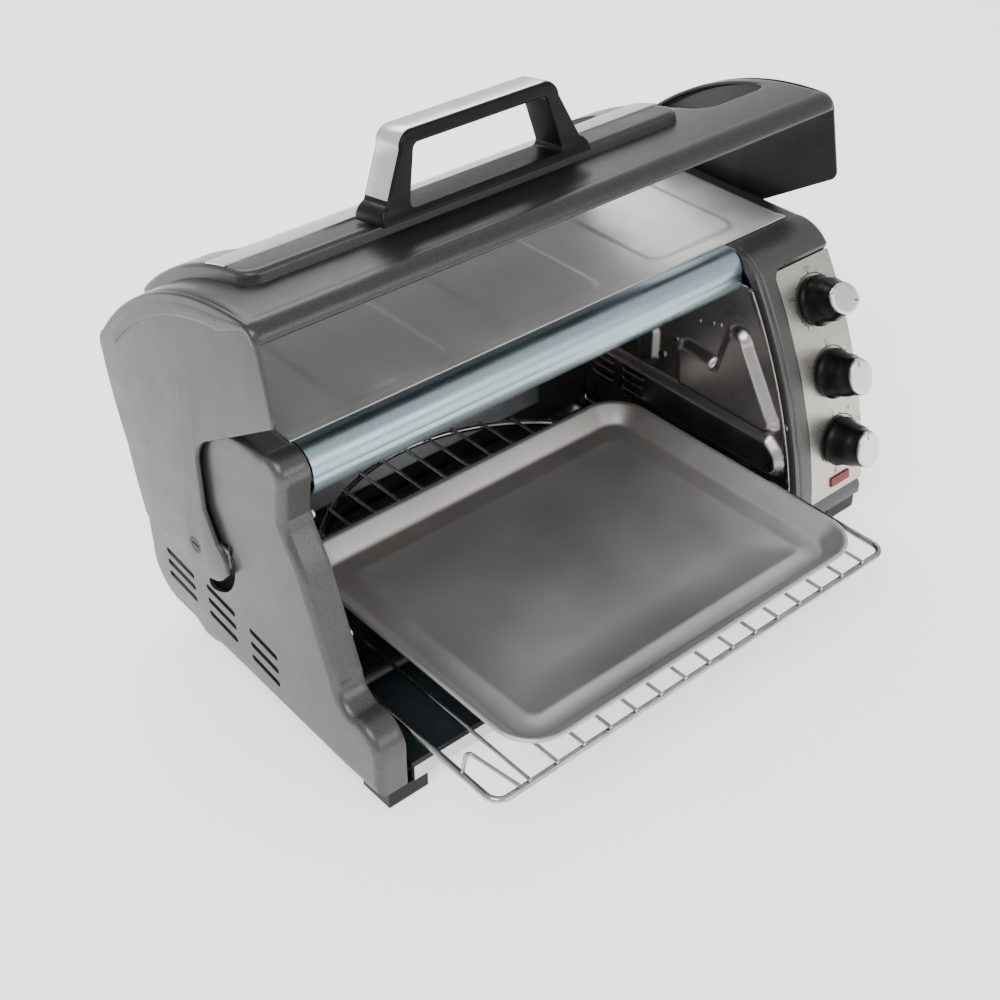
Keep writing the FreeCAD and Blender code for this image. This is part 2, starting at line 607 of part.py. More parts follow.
# ---- rack, pan, tray ----
def rack_frame():
    """Heavy frame wire: sides and front in one bend, rounded back welded on."""
    front = pipe([(RACK_LEFT, RACK_BACK, RACK_Z), (RACK_LEFT, RACK_FRONT, RACK_Z),
                  (RACK_RIGHT, RACK_FRONT, RACK_Z), (RACK_RIGHT, RACK_BACK, RACK_Z)], RACK_WIRE_R, 9.0)
    centre_y = RACK_PEAK - BUMP_RACK_R
    reach = math.sqrt(BUMP_RACK_R ** 2 - (RACK_BACK - centre_y) ** 2)
    left, right = Vector(BUMP_X - reach, RACK_BACK, RACK_Z), Vector(BUMP_X + reach, RACK_BACK, RACK_Z)
    top = Vector(BUMP_X, RACK_PEAK, RACK_Z)
    arc = Part.Arc(left, top, right).toShape()
    tangent = Vector(RACK_BACK - centre_y, reach, 0)
    back = sweep([arc], left, tangent, RACK_WIRE_R)
    ends = [rod(RACK_LEFT, left.x + 1.0, RACK_BACK, RACK_Z, RACK_WIRE_R),
            rod(right.x - 1.0, RACK_RIGHT, RACK_BACK, RACK_Z, RACK_WIRE_R)]
    return front.fuse([back] + ends)


def rack_grid():
    """Fifteen thin wires from front to back, laid on the frame."""
    z = RACK_Z + RACK_WIRE_R + GRID_WIRE_R
    centre_y = RACK_PEAK - BUMP_RACK_R
    pitch = (RACK_RIGHT - RACK_LEFT) / 16.3
    wires = []
    for i in range(-7, 8):
        dx = i * pitch
        reach = BUMP_RACK_R ** 2 - dx ** 2
        back = max(RACK_BACK, centre_y + math.sqrt(reach)) if reach > 0 else RACK_BACK
        wires.append(Part.makeCylinder(GRID_WIRE_R, back - RACK_FRONT + 2,
                                       Vector(BUMP_X - 0.4 + dx, RACK_FRONT - 1, z), Vector(0, 1, 0)))
    return wires


def rack_stop():
    """Bent wire at the left front corner: it climbs back from the front wire, then drops to the side."""
    corner = (RACK_LEFT + 17, RACK_FRONT, RACK_Z + RACK_WIRE_R + 1.4)
    peak = (RACK_LEFT + 1.0, RACK_FRONT + 27, RACK_Z + 21.0)
    foot_end = (RACK_LEFT, RACK_FRONT + 30, RACK_Z + RACK_WIRE_R + 0.2)
    return pipe([corner, peak, foot_end], 1.3, 3.0)


def rounded(inset, z, r):
    """Rounded rectangle in the pan's plan, drawn in from its rim."""
    x0, x1, y0, y1 = PAN_X0 + inset, PAN_X1 - inset, PAN_Y0 + inset, PAN_Y1 - inset
    k = r * (1 - math.sqrt(0.5))
    edges = [Part.makeLine(Vector(x0 + r, y0, z), Vector(x1 - r, y0, z)),
             Part.Arc(Vector(x1 - r, y0, z), Vector(x1 - k, y0 + k, z), Vector(x1, y0 + r, z)).toShape(),
             Part.makeLine(Vector(x1, y0 + r, z), Vector(x1, y1 - r, z)),
             Part.Arc(Vector(x1, y1 - r, z), Vector(x1 - k, y1 - k, z), Vector(x1 - r, y1, z)).toShape(),
             Part.makeLine(Vector(x1 - r, y1, z), Vector(x0 + r, y1, z)),
             Part.Arc(Vector(x0 + r, y1, z), Vector(x0 + k, y1 - k, z), Vector(x0, y1 - r, z)).toShape(),
             Part.makeLine(Vector(x0, y1 - r, z), Vector(x0, y0 + r, z)),
             Part.Arc(Vector(x0, y0 + r, z), Vector(x0 + k, y0 + k, z), Vector(x0 + r, y0, z)).toShape()]
    return Part.Wire(edges)


def baking_pan():
    """Shallow drawn tray with sloped sides and a rolled rim."""
    outer = Part.makeLoft([rounded(13.0, PAN_Z, 17.0), rounded(4.0, PAN_RIM_Z, 26.0)], True)
    inner = Part.makeLoft([rounded(13.8, PAN_Z + 0.9, 16.2), rounded(4.9, PAN_RIM_Z + 0.1, 25.1)], True)
    rim = Part.Face(rounded(0.0, PAN_RIM_Z - 2.2, 30.0)).extrude(Vector(0, 0, 2.2))
    rim_hole = Part.Face(rounded(4.2, PAN_RIM_Z - 3, 25.8)).extrude(Vector(0, 0, 4))
    return outer.cut(inner).fuse(rim.cut(rim_hole))


def crumb_tray():
    """Flat drip tray under the lower elements, with a folded front lip to pull it by."""
    floor = box(-204.0, 148.0, -127.0, 92.0, 19.5, 20.5)
    lip = box(-206.0, 150.0, -130.5, -127.0, 14.0, 25.0)
    sides = [box(-204.0, -203.0, -127.0, 92.0, 20.5, 25.0), box(147.0, 148.0, -127.0, 92.0, 20.5, 25.0)]
    return floor.fuse([lip] + sides)


def build():
    save("left_casing", left_casing())
    save("right_casing", right_casing())
    save("top_cover", top_cover())
    save("front_top_rail", front_top_rail())
    save("base_pan", base_pan())
    save("rear_panel", rear_panel())
    save("rear_bump", rear_bump())
    save("front_feet", foot(-210, -116), foot(210, -106))
    save("rear_feet", foot(-168, 92), foot(168, 92))

    save("liner_left", liner_left())
    save("liner_right", liner_right())
    save("liner_ceiling", liner_ceiling())
    save("liner_back", liner_back())
    for name, place in ELEMENTS.items():
        save(name, element(*place))
    save("element_insulators", *element_insulators())
    save("liner_fasteners", *liner_fasteners())
    save("casing_screws", *casing_screws())

    save("control_faceplate", control_faceplate())
    save("control_bracket", control_bracket())
    save("control_nuts", *control_nuts())
    save("indicator_lens", lamp_block(0.0, -2.0, 1.4))
    save("indicator_lamp", seat(Part.makeCylinder(2.5, 10.0, Vector(-5, 0, -6), Vector(1, 0, 0)), LAMP_Z))
    save("thermostat", seat(thermostat(), KNOB_HEIGHTS["temperature"]))
    save("function_switch", seat(function_switch(), KNOB_HEIGHTS["function"]))
    save("timer", seat(timer(), KNOB_HEIGHTS["timer"]))
    save("timer_bell", seat(timer_bell(), KNOB_HEIGHTS["timer"]))
    save("terminal_block", terminal_block())
    save("wiring_harness", *wiring_harness())
    save("cord_bushing", cord_bushing())
    for name, height in KNOB_HEIGHTS.items():
        save(name + "_knob", seat(knob_body(), height))
        save(name + "_knob_cap", seat(knob_cap(), height))
        save(name + "_shaft", seat(shaft(), height))

    save("hinge_pins", hinge_pin(), mirrored(hinge_pin()))
    save("hinge_retainers", hinge_retainer(), mirrored(hinge_retainer()))
    save("door_shell", opened(door_shell()))
    save("door_cheek_right", opened(door_cheek()))
    save("door_cheek_left", opened(mirrored(door_cheek())))
    save("hinge_plates", opened(hinge_plate()), opened(mirrored(hinge_plate())))
    save("guide_pins", opened(guide_pin()), opened(mirrored(guide_pin())))
    save("window_surround", opened(window_surround()))
    save("window_glass", opened(window_glass()))
    save("glass_retainer", opened(glass_retainer()))
    save("window_trim", opened(window_trim()))
    save("handle_grip", opened(on_door(handle_grip())))
    save("handle_trim", opened(on_door(handle_trim_local())))
    save("handle_screws", *[opened(on_door(head)) for head in handle_screws()])

    save("rack_frame", rack_frame())
    save("rack_grid", *rack_grid())
    save("rack_stop", rack_stop())
    save("baking_pan", baking_pan())
    save("crumb_tray", crumb_tray())


build()
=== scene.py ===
import json
import math

import bmesh
import bpy
import numpy as np
from mathutils import Matrix, Vector
from mathutils.geometry import tessellate_polygon


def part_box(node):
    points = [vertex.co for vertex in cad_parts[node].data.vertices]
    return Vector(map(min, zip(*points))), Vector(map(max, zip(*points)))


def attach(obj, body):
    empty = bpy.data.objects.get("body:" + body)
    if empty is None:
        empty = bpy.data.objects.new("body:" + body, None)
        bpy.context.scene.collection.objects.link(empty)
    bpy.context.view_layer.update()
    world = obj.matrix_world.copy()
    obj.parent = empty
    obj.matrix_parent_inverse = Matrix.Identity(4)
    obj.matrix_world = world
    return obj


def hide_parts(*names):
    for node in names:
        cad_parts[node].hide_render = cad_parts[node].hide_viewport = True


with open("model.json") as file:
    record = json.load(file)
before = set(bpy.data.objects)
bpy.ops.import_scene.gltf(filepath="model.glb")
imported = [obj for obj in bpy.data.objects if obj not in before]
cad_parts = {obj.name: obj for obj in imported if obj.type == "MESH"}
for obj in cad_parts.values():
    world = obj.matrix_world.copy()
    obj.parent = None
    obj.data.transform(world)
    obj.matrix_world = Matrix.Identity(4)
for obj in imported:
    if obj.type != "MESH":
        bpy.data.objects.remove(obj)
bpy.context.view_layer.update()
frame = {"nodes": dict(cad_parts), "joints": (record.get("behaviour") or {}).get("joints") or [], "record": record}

# Toaster oven with a roll-top door. Shapes are worked out in millimetres, in the drawing's own
# frame: +X to the user's right, +Y to the back with y = 0 in the middle of the side covers, +Z up.
# Door pieces are drawn with the door closed and turned open.

NODES = frame["nodes"]
JOINTS = {joint["name"]: joint for joint in frame["joints"]}
HINGE = [1000 * v for v in JOINTS["door_hinge"]["pos_m"]]
HINGE_Y, HINGE_Z = 47.7, HINGE[2]
SHIFT_Y = HINGE[1] - HINGE_Y            # from the drawing's y to the frame's
DOOR_SWING = JOINTS["door_hinge"]["range_deg"][1]

SIDE_X = 1000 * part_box("right_casing")[1].x
DOOR_EDGE = 1000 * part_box("door_cheek_right")[1].x
TOP_Z = 1000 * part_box("top_cover")[1].z
CAVITY_LEFT = 1000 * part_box("left_casing")[1].x
CAVITY_RIGHT = 1000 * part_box("right_casing")[0].x
RIGHT_WALL = 153.0
BASE_Z = 13.0
WALL = 2.5

SHELL_Y, SHELL_Z, SHELL_R = 61.0, 17.0, 222.0           # curve of the door's skin
LIP_ANGLE, MIDDLE_ANGLE, REAR_ANGLE = 173.5, 148.0, 126.0       # places round that curve
DEGREES_PER_MM = math.degrees(1) / SHELL_R              # along the door's curve
FRAME_H = 8.0                                           # the window surround stands this much proud
CONTROL_Y, CONTROL_Z = 283.3, -16.8                     # curve of the control front
CONTROL_R, PLATE_R = 407.0, 404.5
KNOB_X = 205.0
KNOB_HEIGHTS = {"temperature": 168.0, "function": 118.0, "timer": 67.0}
SCALE_R = 20.4                                          # inner end of the ticks round a knob
HANDLE_X, HANDLE_ANGLE, HANDLE_H = -43.7, 164.8, 51.4

# groups of cooling slots in the side covers: front end, back end, heights of the front ends
VENTS = ((-28.0, 2.5, (34.5, 45.5, 56.5)),
         (18.5, 51.0, (40.0, 51.0, 62.0)),
         (66.0, 99.0, (44.0, 54.0, 63.5)))
VENT_HALF = 2.3
VENT_RISE = 4.0                                         # each slot climbs this much to the back

GUIDE_R, GUIDE_HALF = 32.0, 4.0                         # curved slot of the guide pin
GUIDE_FIRST, GUIDE_LAST = 160.0, 260.0                  # its ends, in degrees round the hinge

CONTROL_RIM = WALL + 4.8                                # right cover's wall at its rim, clear of the recess
PLATE_RECESS = 4.7
GROOVE_X, GROOVE_DEPTH = 159.0, 0.9                     # groove between the cavity and the controls


# ---- outlines: arrays of (y, z) points ----
def arc(start, mid, end, step=1.5):
    """Points on the circle through three points, without the start."""
    (ax, ay), (bx, by), (cx, cy) = start, mid, end
    d = 2 * (ax * (by - cy) + bx * (cy - ay) + cx * (ay - by))
    sa, sb, sc = ax * ax + ay * ay, bx * bx + by * by, cx * cx + cy * cy
    x = (sa * (by - cy) + sb * (cy - ay) + sc * (ay - by)) / d
    y = (sa * (cx - bx) + sb * (ax - cx) + sc * (bx - ax)) / d
    r = math.hypot(ax - x, ay - y)
    a0, a1, a2 = (math.atan2(q - y, p - x) for p, q in (start, mid, end))
    turn = (a2 - a0) % (2 * math.pi)
    if (a1 - a0) % (2 * math.pi) > turn:
        turn -= 2 * math.pi
    count = max(4, int(abs(turn) * r / step))
    return [(x + r * math.cos(a0 + turn * i / count), y + r * math.sin(a0 + turn * i / count))
            for i in range(1, count + 1)]


def line(start, end, step=1000.0):
    """Points on a straight line, without the start."""
    count = max(1, int(math.dist(start, end) / step))
    return [tuple(np.array(start) + (np.array(end) - start) * i / count) for i in range(1, count + 1)]


def outline(start, *steps, step=1000.0):
    """Outline from points; a step (mid, end) is an arc, a point is a line."""
    points = [start]
    for item in steps:
        if isinstance(item[0], tuple):
            points += arc(points[-1], *item)
        else:
            points += line(points[-1], item, step)
    return np.array(points)


def polar(y, z, r, degrees):
    """Point on a circle."""
    a = math.radians(degrees)
    return (y + r * math.cos(a), z + r * math.sin(a))


def normals(points, closed=True):
    """Unit normals of an outline, to the right of its direction, longer at sharp corners."""
    before = np.roll(points, 1, axis=0)
    after = np.roll(points, -1, axis=0)
    if not closed:
        before[0] = 2 * points[0] - points[1]
        after[-1] = 2 * points[-1] - points[-2]
    a = points - before
    b = after - points
    a /= np.linalg.norm(a, axis=1)[:, None]
    b /= np.linalg.norm(b, axis=1)[:, None]
    mean = a + b
    mean /= np.linalg.norm(mean, axis=1)[:, None]
    stretch = 1 / np.clip((mean * b).sum(1), 0.5, 1)
    return np.stack([mean[:, 1], -mean[:, 0]], 1) * stretch[:, None]


def inset(points, distance):
    """Closed outline drawn in by a distance."""
    y, z = points.T
    area = (y * np.roll(z, -1) - z * np.roll(y, -1)).sum()
    return points - normals(points) * distance * math.copysign(1, area)


def rounded_rect(x0, x1, y0, y1, r, per_corner=12):
    """Closed outline of a rectangle with rounded corners."""
    corners = ((x1 - r, y1 - r, 0), (x0 + r, y1 - r, 90), (x0 + r, y0 + r, 180), (x1 - r, y0 + r, 270))
    points = []
    for cx, cy, start in corners:
        for i in range(per_corner + 1):
            points.append(polar(cx, cy, r, start + 90 * i / per_corner))
    return np.array(points)


def quarter(r, steps):
    """(inward, depth) along a rounded edge, from the flat face to the side wall."""
    angles = [math.radians(90 * i / steps) for i in range(steps + 1)]
    return [(r * (1 - math.sin(a)), r * (1 - math.cos(a))) for a in angles]


def box_distance(u, v, u0, u1, v0, v1, r):
    """Distance to a rounded rectangle's outline, negative inside."""
    du = np.abs(u - (u0 + u1) / 2) - (u1 - u0) / 2 + r
    dv = np.abs(v - (v0 + v1) / 2) - (v1 - v0) / 2 + r
    return np.hypot(np.maximum(du, 0), np.maximum(dv, 0)) + np.minimum(np.maximum(du, dv), 0) - r


def outline_distance(u, v, points):
    """Distance to a closed outline, negative inside."""
    best = np.full(u.shape, 1e9)
    inside = np.zeros(u.shape, bool)
    for (ax, ay), (bx, by) in zip(points, np.roll(points, -1, axis=0)):
        ex, ey = bx - ax, by - ay
        t = np.clip(((u - ax) * ex + (v - ay) * ey) / (ex * ex + ey * ey), 0, 1)
        best = np.minimum(best, np.hypot(u - ax - t * ex, v - ay - t * ey))
        crossing = ((ay > v) != (by > v)) & (u < ax + (v - ay) * ex / (ey if ey else 1e-9))
        inside ^= crossing
    return np.where(inside, -best, best)


def raised(distance, edge):
    """1 inside an outline, falling smoothly to 0 over the edge's width outside it."""
    t = np.clip(1 - distance / edge, 0, 1)
    return t * t * (3 - 2 * t)


# ---- meshes ----
def piece(name, points, faces, look, body, stands_for=(), slot=None, sharp=38.0):
    """Object from millimetre points; it rides on a body and may stand for CAD nodes."""
    mesh = bpy.data.meshes.new(name)
    metres = (np.asarray(points, float) + (0, SHIFT_Y, 0)) / 1000
    mesh.from_pydata(metres.tolist(), [], faces)
    shape = bmesh.new()
    shape.from_mesh(mesh)
    bmesh.ops.remove_doubles(shape, verts=shape.verts, dist=1e-6)
    bmesh.ops.recalc_face_normals(shape, faces=shape.faces)
    shape.to_mesh(mesh)
    shape.free()
    mesh.shade_smooth()
    mesh.set_sharp_from_angle(angle=math.radians(sharp))
    mesh.materials.append(look)
    obj = bpy.data.objects.new(name, mesh)
    bpy.context.scene.collection.objects.link(obj)
    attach(obj, body)
    if stands_for:
        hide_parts(*stands_for)
    return obj


def thicken(obj, thickness, behind):
    """Gives a sheet its thickness on the side of a point in the drawing."""
    centre = (Vector(behind) + Vector((0, SHIFT_Y, 0))) / 1000
    facing = sum((face.center - centre).dot(face.normal) * face.area for face in obj.data.polygons)
    if facing < 0:
        obj.data.flip_normals()
    modifier = obj.modifiers.new("thickness", "SOLIDIFY")
    modifier.thickness = thickness / 1000
    modifier.offset = -1.0
    return obj


def joined(parts):
    """One (points, faces) from several."""
    points, faces, start = [], [], 0
    for part_points, part_faces in parts:
        points.append(np.asarray(part_points, float))
        faces += [tuple(i + start for i in face) for face in part_faces]
        start += len(part_points)
    return np.concatenate(points), faces


def loft(rings, cap_first=False, cap_last=False):
    """Faces between closed rings of equal length, with flat caps where asked."""
    count = len(rings[0])
    points = np.concatenate([np.asarray(ring, float) for ring in rings])
    faces = []
    for k in range(len(rings) - 1):
        for i in range(count):
            j = (i + 1) % count
            faces.append((k * count + i, k * count + j, (k + 1) * count + j, (k + 1) * count + i))
    if cap_first:
        faces.append(tuple(range(count)))
    if cap_last:
        faces.append(tuple(range((len(rings) - 1) * count, len(rings) * count)))
    return points, faces


def at_x(points, x):
    """(y, z) outline stood up at one x."""
    return np.column_stack([np.full(len(points), x), points])


def flat_cap(loops):
    """Face filling the first loop and open in the others."""
    points = np.concatenate(loops)
    flat = [[Vector((0, p[1], p[2])) for p in loop] for loop in loops]
    return points, [tuple(triangle) for triangle in tessellate_polygon(flat)]


def cover_shell(points, x_face, x_open, round_r, holes, rim=WALL, xs=None, dent=None):
    """Hollow side cover: pierced flat face, rounded edge, walls to the open side, and the same inside.

    The walls are as thick as rim, xs are the places of their rings, and dent presses each ring in.
    """
    way = math.copysign(1, x_open - x_face)
    rings = [at_x(inset(points, inward), x_face + way * depth) for inward, depth in quarter(round_r, 8)]
    if xs is None:
        xs = np.linspace(x_face + way * round_r, x_open - way * 1.0, 6)[1:]
    rings += [at_x(points, x) for x in xs]
    rings.append(at_x(inset(points, 0.3), x_open - way * 0.3))
    rings.append(at_x(inset(points, 1.0), x_open))
    if dent:
        rings = [dent(ring) for ring in rings]
    x_inside = x_face + way * WALL
    rings.append(at_x(inset(points, rim), x_open))
    rings.append(at_x(inset(points, max(round_r, rim)), x_inside))
    outer_holes = [at_x(hole, x_face) for hole in holes]
    inner_holes = [at_x(hole, x_inside) for hole in holes]
    parts = [loft(rings), flat_cap([rings[0]] + outer_holes), flat_cap([rings[-1]] + inner_holes)]
    parts += [loft(pair) for pair in zip(outer_holes, inner_holes)]
    return joined(parts)


def slab(outer, holes, x0, x1, r0, r1, steps=5):
    """Plate between two x planes with rounded outer edges."""
    way = math.copysign(1, x1 - x0)
    rings = [at_x(inset(outer, inward), x0 + way * depth) for inward, depth in quarter(r0, steps)]
    rings += [at_x(inset(outer, inward), x1 - way * depth) for inward, depth in quarter(r1, steps)[::-1]]
    first_holes = [at_x(hole, x0) for hole in holes]
    last_holes = [at_x(hole, x1) for hole in holes]
    parts = [loft(rings), flat_cap([rings[0]] + first_holes), flat_cap([rings[-1]] + last_holes)]
    parts += [loft(pair) for pair in zip(first_holes, last_holes)]
    return joined(parts)


def mirrored_x(ring):
    """The same ring at the opposite x."""
    return at_x(ring[:, 1:], -ring[0, 0])


def sheet(us, vs, cut=None):
    """Grid over two lists of coordinates, open where cut is negative, with its edge drawn onto the cut."""
    nudge, least_slope = 0.05, 0.2
    u, v = np.meshgrid(us, vs, indexing="ij")
    keep = np.ones((len(us) - 1, len(vs) - 1), bool)
    if cut:
        middle_u = (u[1:, 1:] + u[:-1, :-1]) / 2
        middle_v = (v[1:, 1:] + v[:-1, :-1]) / 2
        keep = cut(middle_u, middle_v) > 0
        around = np.zeros(u.shape)
        total = np.zeros(u.shape)
        for a in (slice(None, -1), slice(1, None)):
            for b in (slice(None, -1), slice(1, None)):
                around[a, b] += keep
                total[a, b] += 1
        edge = (around > 0) & (around < total)
        for _ in range(4):
            d = cut(u, v)
            gu = (cut(u + nudge, v) - cut(u - nudge, v)) / (2 * nudge)
            gv = (cut(u, v + nudge) - cut(u, v - nudge)) / (2 * nudge)
            size = np.maximum(gu * gu + gv * gv, least_slope)
            u = np.where(edge, u - d * gu / size, u)
            v = np.where(edge, v - d * gv / size, v)
    index = np.arange(u.size).reshape(u.shape)
    faces = [(index[i, j], index[i + 1, j], index[i + 1, j + 1], index[i, j + 1])
             for i, j in zip(*np.nonzero(keep))]
    used = sorted({k for face in faces for k in face})
    renumber = {k: n for n, k in enumerate(used)}
    faces = [tuple(renumber[k] for k in face) for face in faces]
    return u.ravel()[used], v.ravel()[used], faces


def along(profile, s, out):
    """(y, z) at lengths s along an outline, moved out to the left of its direction."""
    steps = np.linalg.norm(np.diff(profile, axis=0), axis=1)
    length = np.concatenate([[0], steps.cumsum()])
    side = -normals(profile, closed=False)
    side /= np.linalg.norm(side, axis=1)[:, None]
    y, z = (np.interp(s, length, profile[:, k]) for k in (0, 1))
    ny, nz = (np.interp(s, length, side[:, k]) for k in (0, 1))
    return np.column_stack([y + ny * out, z + nz * out])


def profile_length(profile):
    """Length of an open outline."""
    return np.linalg.norm(np.diff(profile, axis=0), axis=1).sum()


def turned(points, y, z, degrees):
    """Points turned about an X axis through (y, z)."""
    a = math.radians(degrees)
    p = np.asarray(points, float)
    dy, dz = p[:, 1] - y, p[:, 2] - z
    return np.column_stack([p[:, 0], y + dy * math.cos(a) - dz * math.sin(a),
                            z + dy * math.sin(a) + dz * math.cos(a)])


def opened(part):
    """A door piece turned from closed to open."""
    points, faces = part
    return turned(points, HINGE_Y, HINGE_Z, -DOOR_SWING), faces


# ---- materials ----
class Look:
    """Small helper that builds one procedural material node by node."""

    def __init__(self, name, **shader):
        self.material = bpy.data.materials.new(name)
        self.material.use_nodes = True
        self.tree = self.material.node_tree
        self.shader = self.tree.nodes["Principled BSDF"]
        for socket, value in shader.items():
            self.shader.inputs[socket.replace("_", " ")].default_value = value
        self.place = self.node("ShaderNodeTexCoord").outputs["Object"]
        self.last_normal = None

    def node(self, kind):
        """New node of a kind."""
        return self.tree.nodes.new(kind)

    def link(self, output, target):
        """Wire from one socket to another."""
        self.tree.links.new(output, target)

    def stretched(self, scale):
        """Object coordinates stretched along their axes."""
        mapping = self.node("ShaderNodeMapping")
        mapping.inputs["Scale"].default_value = scale
        self.link(self.place, mapping.inputs["Vector"])
        return mapping.outputs["Vector"]

    def noise(self, size, detail=2.0, stretch=(1, 1, 1)):
        """Noise with features of about the given size in metres."""
        noise = self.node("ShaderNodeTexNoise")
        noise.inputs["Scale"].default_value = 1 / size
        noise.inputs["Detail"].default_value = detail
        self.link(self.stretched(stretch), noise.inputs["Vector"])
        return noise.outputs["Fac"]

    def ramp(self, value, low, high, at=(0.3, 0.7)):
        """Colour or grey that goes from low to high as the value rises."""
        ramp = self.node("ShaderNodeValToRGB")
        for stop, place, colour in zip(ramp.color_ramp.elements, at, (low, high)):
            stop.position = place
            stop.color = (*colour, 1) if isinstance(colour, tuple) else (colour, colour, colour, 1)
        self.link(value, ramp.inputs["Fac"])
        return ramp.outputs["Color"]

    def colour(self, value, low, high, at=(0.3, 0.7)):
        """Base colour that follows a value."""
        self.link(self.ramp(value, low, high, at), self.shader.inputs["Base Color"])

    def roughness(self, value, low, high):
        """Roughness that follows a value."""
        self.link(self.ramp(value, low, high), self.shader.inputs["Roughness"])

    def bump(self, value, strength, distance):
        """Adds a bump; several stack up."""
        bump = self.node("ShaderNodeBump")
        bump.inputs["Strength"].default_value = strength
        bump.inputs["Distance"].default_value = distance
        self.link(value, bump.inputs["Height"])
        if self.last_normal:
            self.link(self.last_normal, bump.inputs["Normal"])
        self.last_normal = bump.outputs["Normal"]
        self.link(self.last_normal, self.shader.inputs["Normal"])


def metallic_paint(name, dark, light, gloss):
    """Baked paint with fine aluminium flakes and a slight orange peel."""
    look = Look(name, Metallic=0.6, Coat_Weight=0.12, Coat_Roughness=0.25)
    flakes = look.noise(0.0006, 1.0)
    look.colour(flakes, dark, light, (0.3, 0.75))
    look.roughness(look.noise(0.02, 3.0), gloss - 0.04, gloss + 0.05)
    look.bump(look.noise(0.003, 2.0), 0.05, 0.0001)
    look.bump(flakes, 0.05, 0.00003)
    return look.material


def satin_steel(name, dark, light, rough, grain=(1, 1, 1), grain_size=0.0007, waves=0.05):
    """Bare sheet with a fine rolled grain, uneven sheen and faint handling marks."""
    look = Look(name, Metallic=1.0)
    fine = look.noise(grain_size, 3.0, grain)
    look.colour(fine, dark, light)
    look.roughness(look.noise(0.035, 4.0), rough - 0.05, rough + 0.07)
    look.bump(fine, 0.05, 0.00003)
    look.bump(look.noise(0.05, 1.0), waves, 0.0006)
    return look.material


def moulded(name, colour, rough, texture=0.0006, **shader):
    """Moulded plastic with a fine spark-eroded texture."""
    look = Look(name, **shader)
    fine = look.noise(texture, 2.0)
    low = tuple(0.85 * c for c in colour)
    high = tuple(1.2 * c for c in colour)
    look.colour(look.noise(0.02, 3.0), low, high)
    look.roughness(look.noise(0.01, 3.0), rough - 0.05, rough + 0.06)
    look.bump(fine, 0.15, 0.00006)
    return look.material


def bright_chrome(name, low, high, rough, waves=0.06):
    """Plated wire and trim with slight waviness in its reflections."""
    look = Look(name, Metallic=1.0)
    look.colour(look.noise(0.012, 3.0), low, high)
    look.roughness(look.noise(0.02, 4.0), rough, rough + 0.08)
    look.bump(look.noise(0.004, 2.0), waves, 0.0002)
    return look.material


def scrubbed(name, low, high, rough):
    """Drawn aluminium with soft stains and the faint marks of use."""
    look = Look(name, Metallic=0.9)
    look.colour(look.noise(0.08, 2.0), low, high)
    look.roughness(look.noise(0.05, 3.0), rough - 0.02, rough + 0.04)
    look.bump(look.noise(0.0005, 2.0), 0.1, 0.00006)
    return look.material


def tinted_glass():
    """Dark glass of the door's window, slightly wavy."""
    look = Look("window_glass", Base_Color=(0.05, 0.055, 0.06, 1), Roughness=0.04, IOR=1.5, Alpha=0.82,
                Coat_Weight=0.4)
    look.bump(look.noise(0.08, 1.0), 0.03, 0.0005)
    return look.material


def lens_plastic():
    """Red lens over the indicator lamp."""
    look = Look("red_lens", IOR=1.45, Specular_IOR_Level=0.3)
    look.colour(look.noise(0.006, 2.0), (0.13, 0.01, 0.008), (0.22, 0.018, 0.014))
    look.roughness(look.noise(0.004, 2.0), 0.18, 0.3)
    return look.material


LOOKS = {
    "casing_paint": metallic_paint("casing_paint", (0.046, 0.044, 0.043), (0.092, 0.089, 0.087), 0.34),
    "door_paint": metallic_paint("door_paint", (0.026, 0.025, 0.025), (0.06, 0.058, 0.058), 0.33),
    "cover_steel": satin_steel("cover_steel", (0.74, 0.73, 0.7), (0.86, 0.85, 0.82), 0.52),
    # the blue tint in the rail steel's base colour is a painted reflection of a bluish sky, not a tint of the
    # steel
    "rail_steel": satin_steel("rail_steel", (0.29, 0.385, 0.42), (0.36, 0.46, 0.5), 0.3,
                              grain=(0.2, 1, 1), waves=0.0),
    "zinc_sheet": satin_steel("zinc_sheet", (0.4, 0.41, 0.42), (0.55, 0.56, 0.57), 0.42, grain_size=0.012),
    "liner_enamel": satin_steel("liner_coating", (0.3, 0.29, 0.28), (0.4, 0.39, 0.375), 0.3),
    "element_sheath": satin_steel("element_sheath", (0.05, 0.045, 0.04), (0.13, 0.12, 0.11), 0.5),
    "ceramic": moulded("ceramic", (0.7, 0.67, 0.6), 0.55),
    "screw_steel": bright_chrome("screw_steel", (0.42, 0.42, 0.42), (0.6, 0.6, 0.6), 0.2),
    "faceplate_steel": satin_steel("faceplate_steel", (0.4, 0.385, 0.345), (0.52, 0.505, 0.455), 0.34,
                                   grain=(0.1, 1, 1), waves=0.02),
    "lens_red": lens_plastic(),
    "lamp_glass": moulded("lamp_glass", (0.5, 0.2, 0.12), 0.2),
    "switch_body": moulded("switch_body", (0.5, 0.48, 0.43), 0.5),
    "bell_steel": bright_chrome("bell_steel", (0.45, 0.45, 0.44), (0.6, 0.6, 0.58), 0.25),
    "wire_jacket": moulded("wire_sleeve", (0.55, 0.52, 0.47), 0.7),
    "black_plastic": moulded("black_plastic", (0.004, 0.004, 0.0045), 0.32, Specular_IOR_Level=0.14),
    "chrome_trim": bright_chrome("satin_trim", (0.64, 0.64, 0.64), (0.7, 0.7, 0.7), 0.26, 0.02),
    "window_glass": tinted_glass(),
    # the rack chrome's base colour is kept dim as painted shade of the oven cavity; its spread from low to high is
    # random tone of the plating
    "rack_chrome": bright_chrome("rack_chrome", (0.24, 0.24, 0.235), (0.42, 0.42, 0.41), 0.12),
    "pan_aluminium": scrubbed("pan_aluminium", (0.47, 0.455, 0.435), (0.57, 0.555, 0.54), 0.4),
    "tray_steel": moulded("tray_coating", (0.016, 0.022, 0.027), 0.16, 0.001),
}
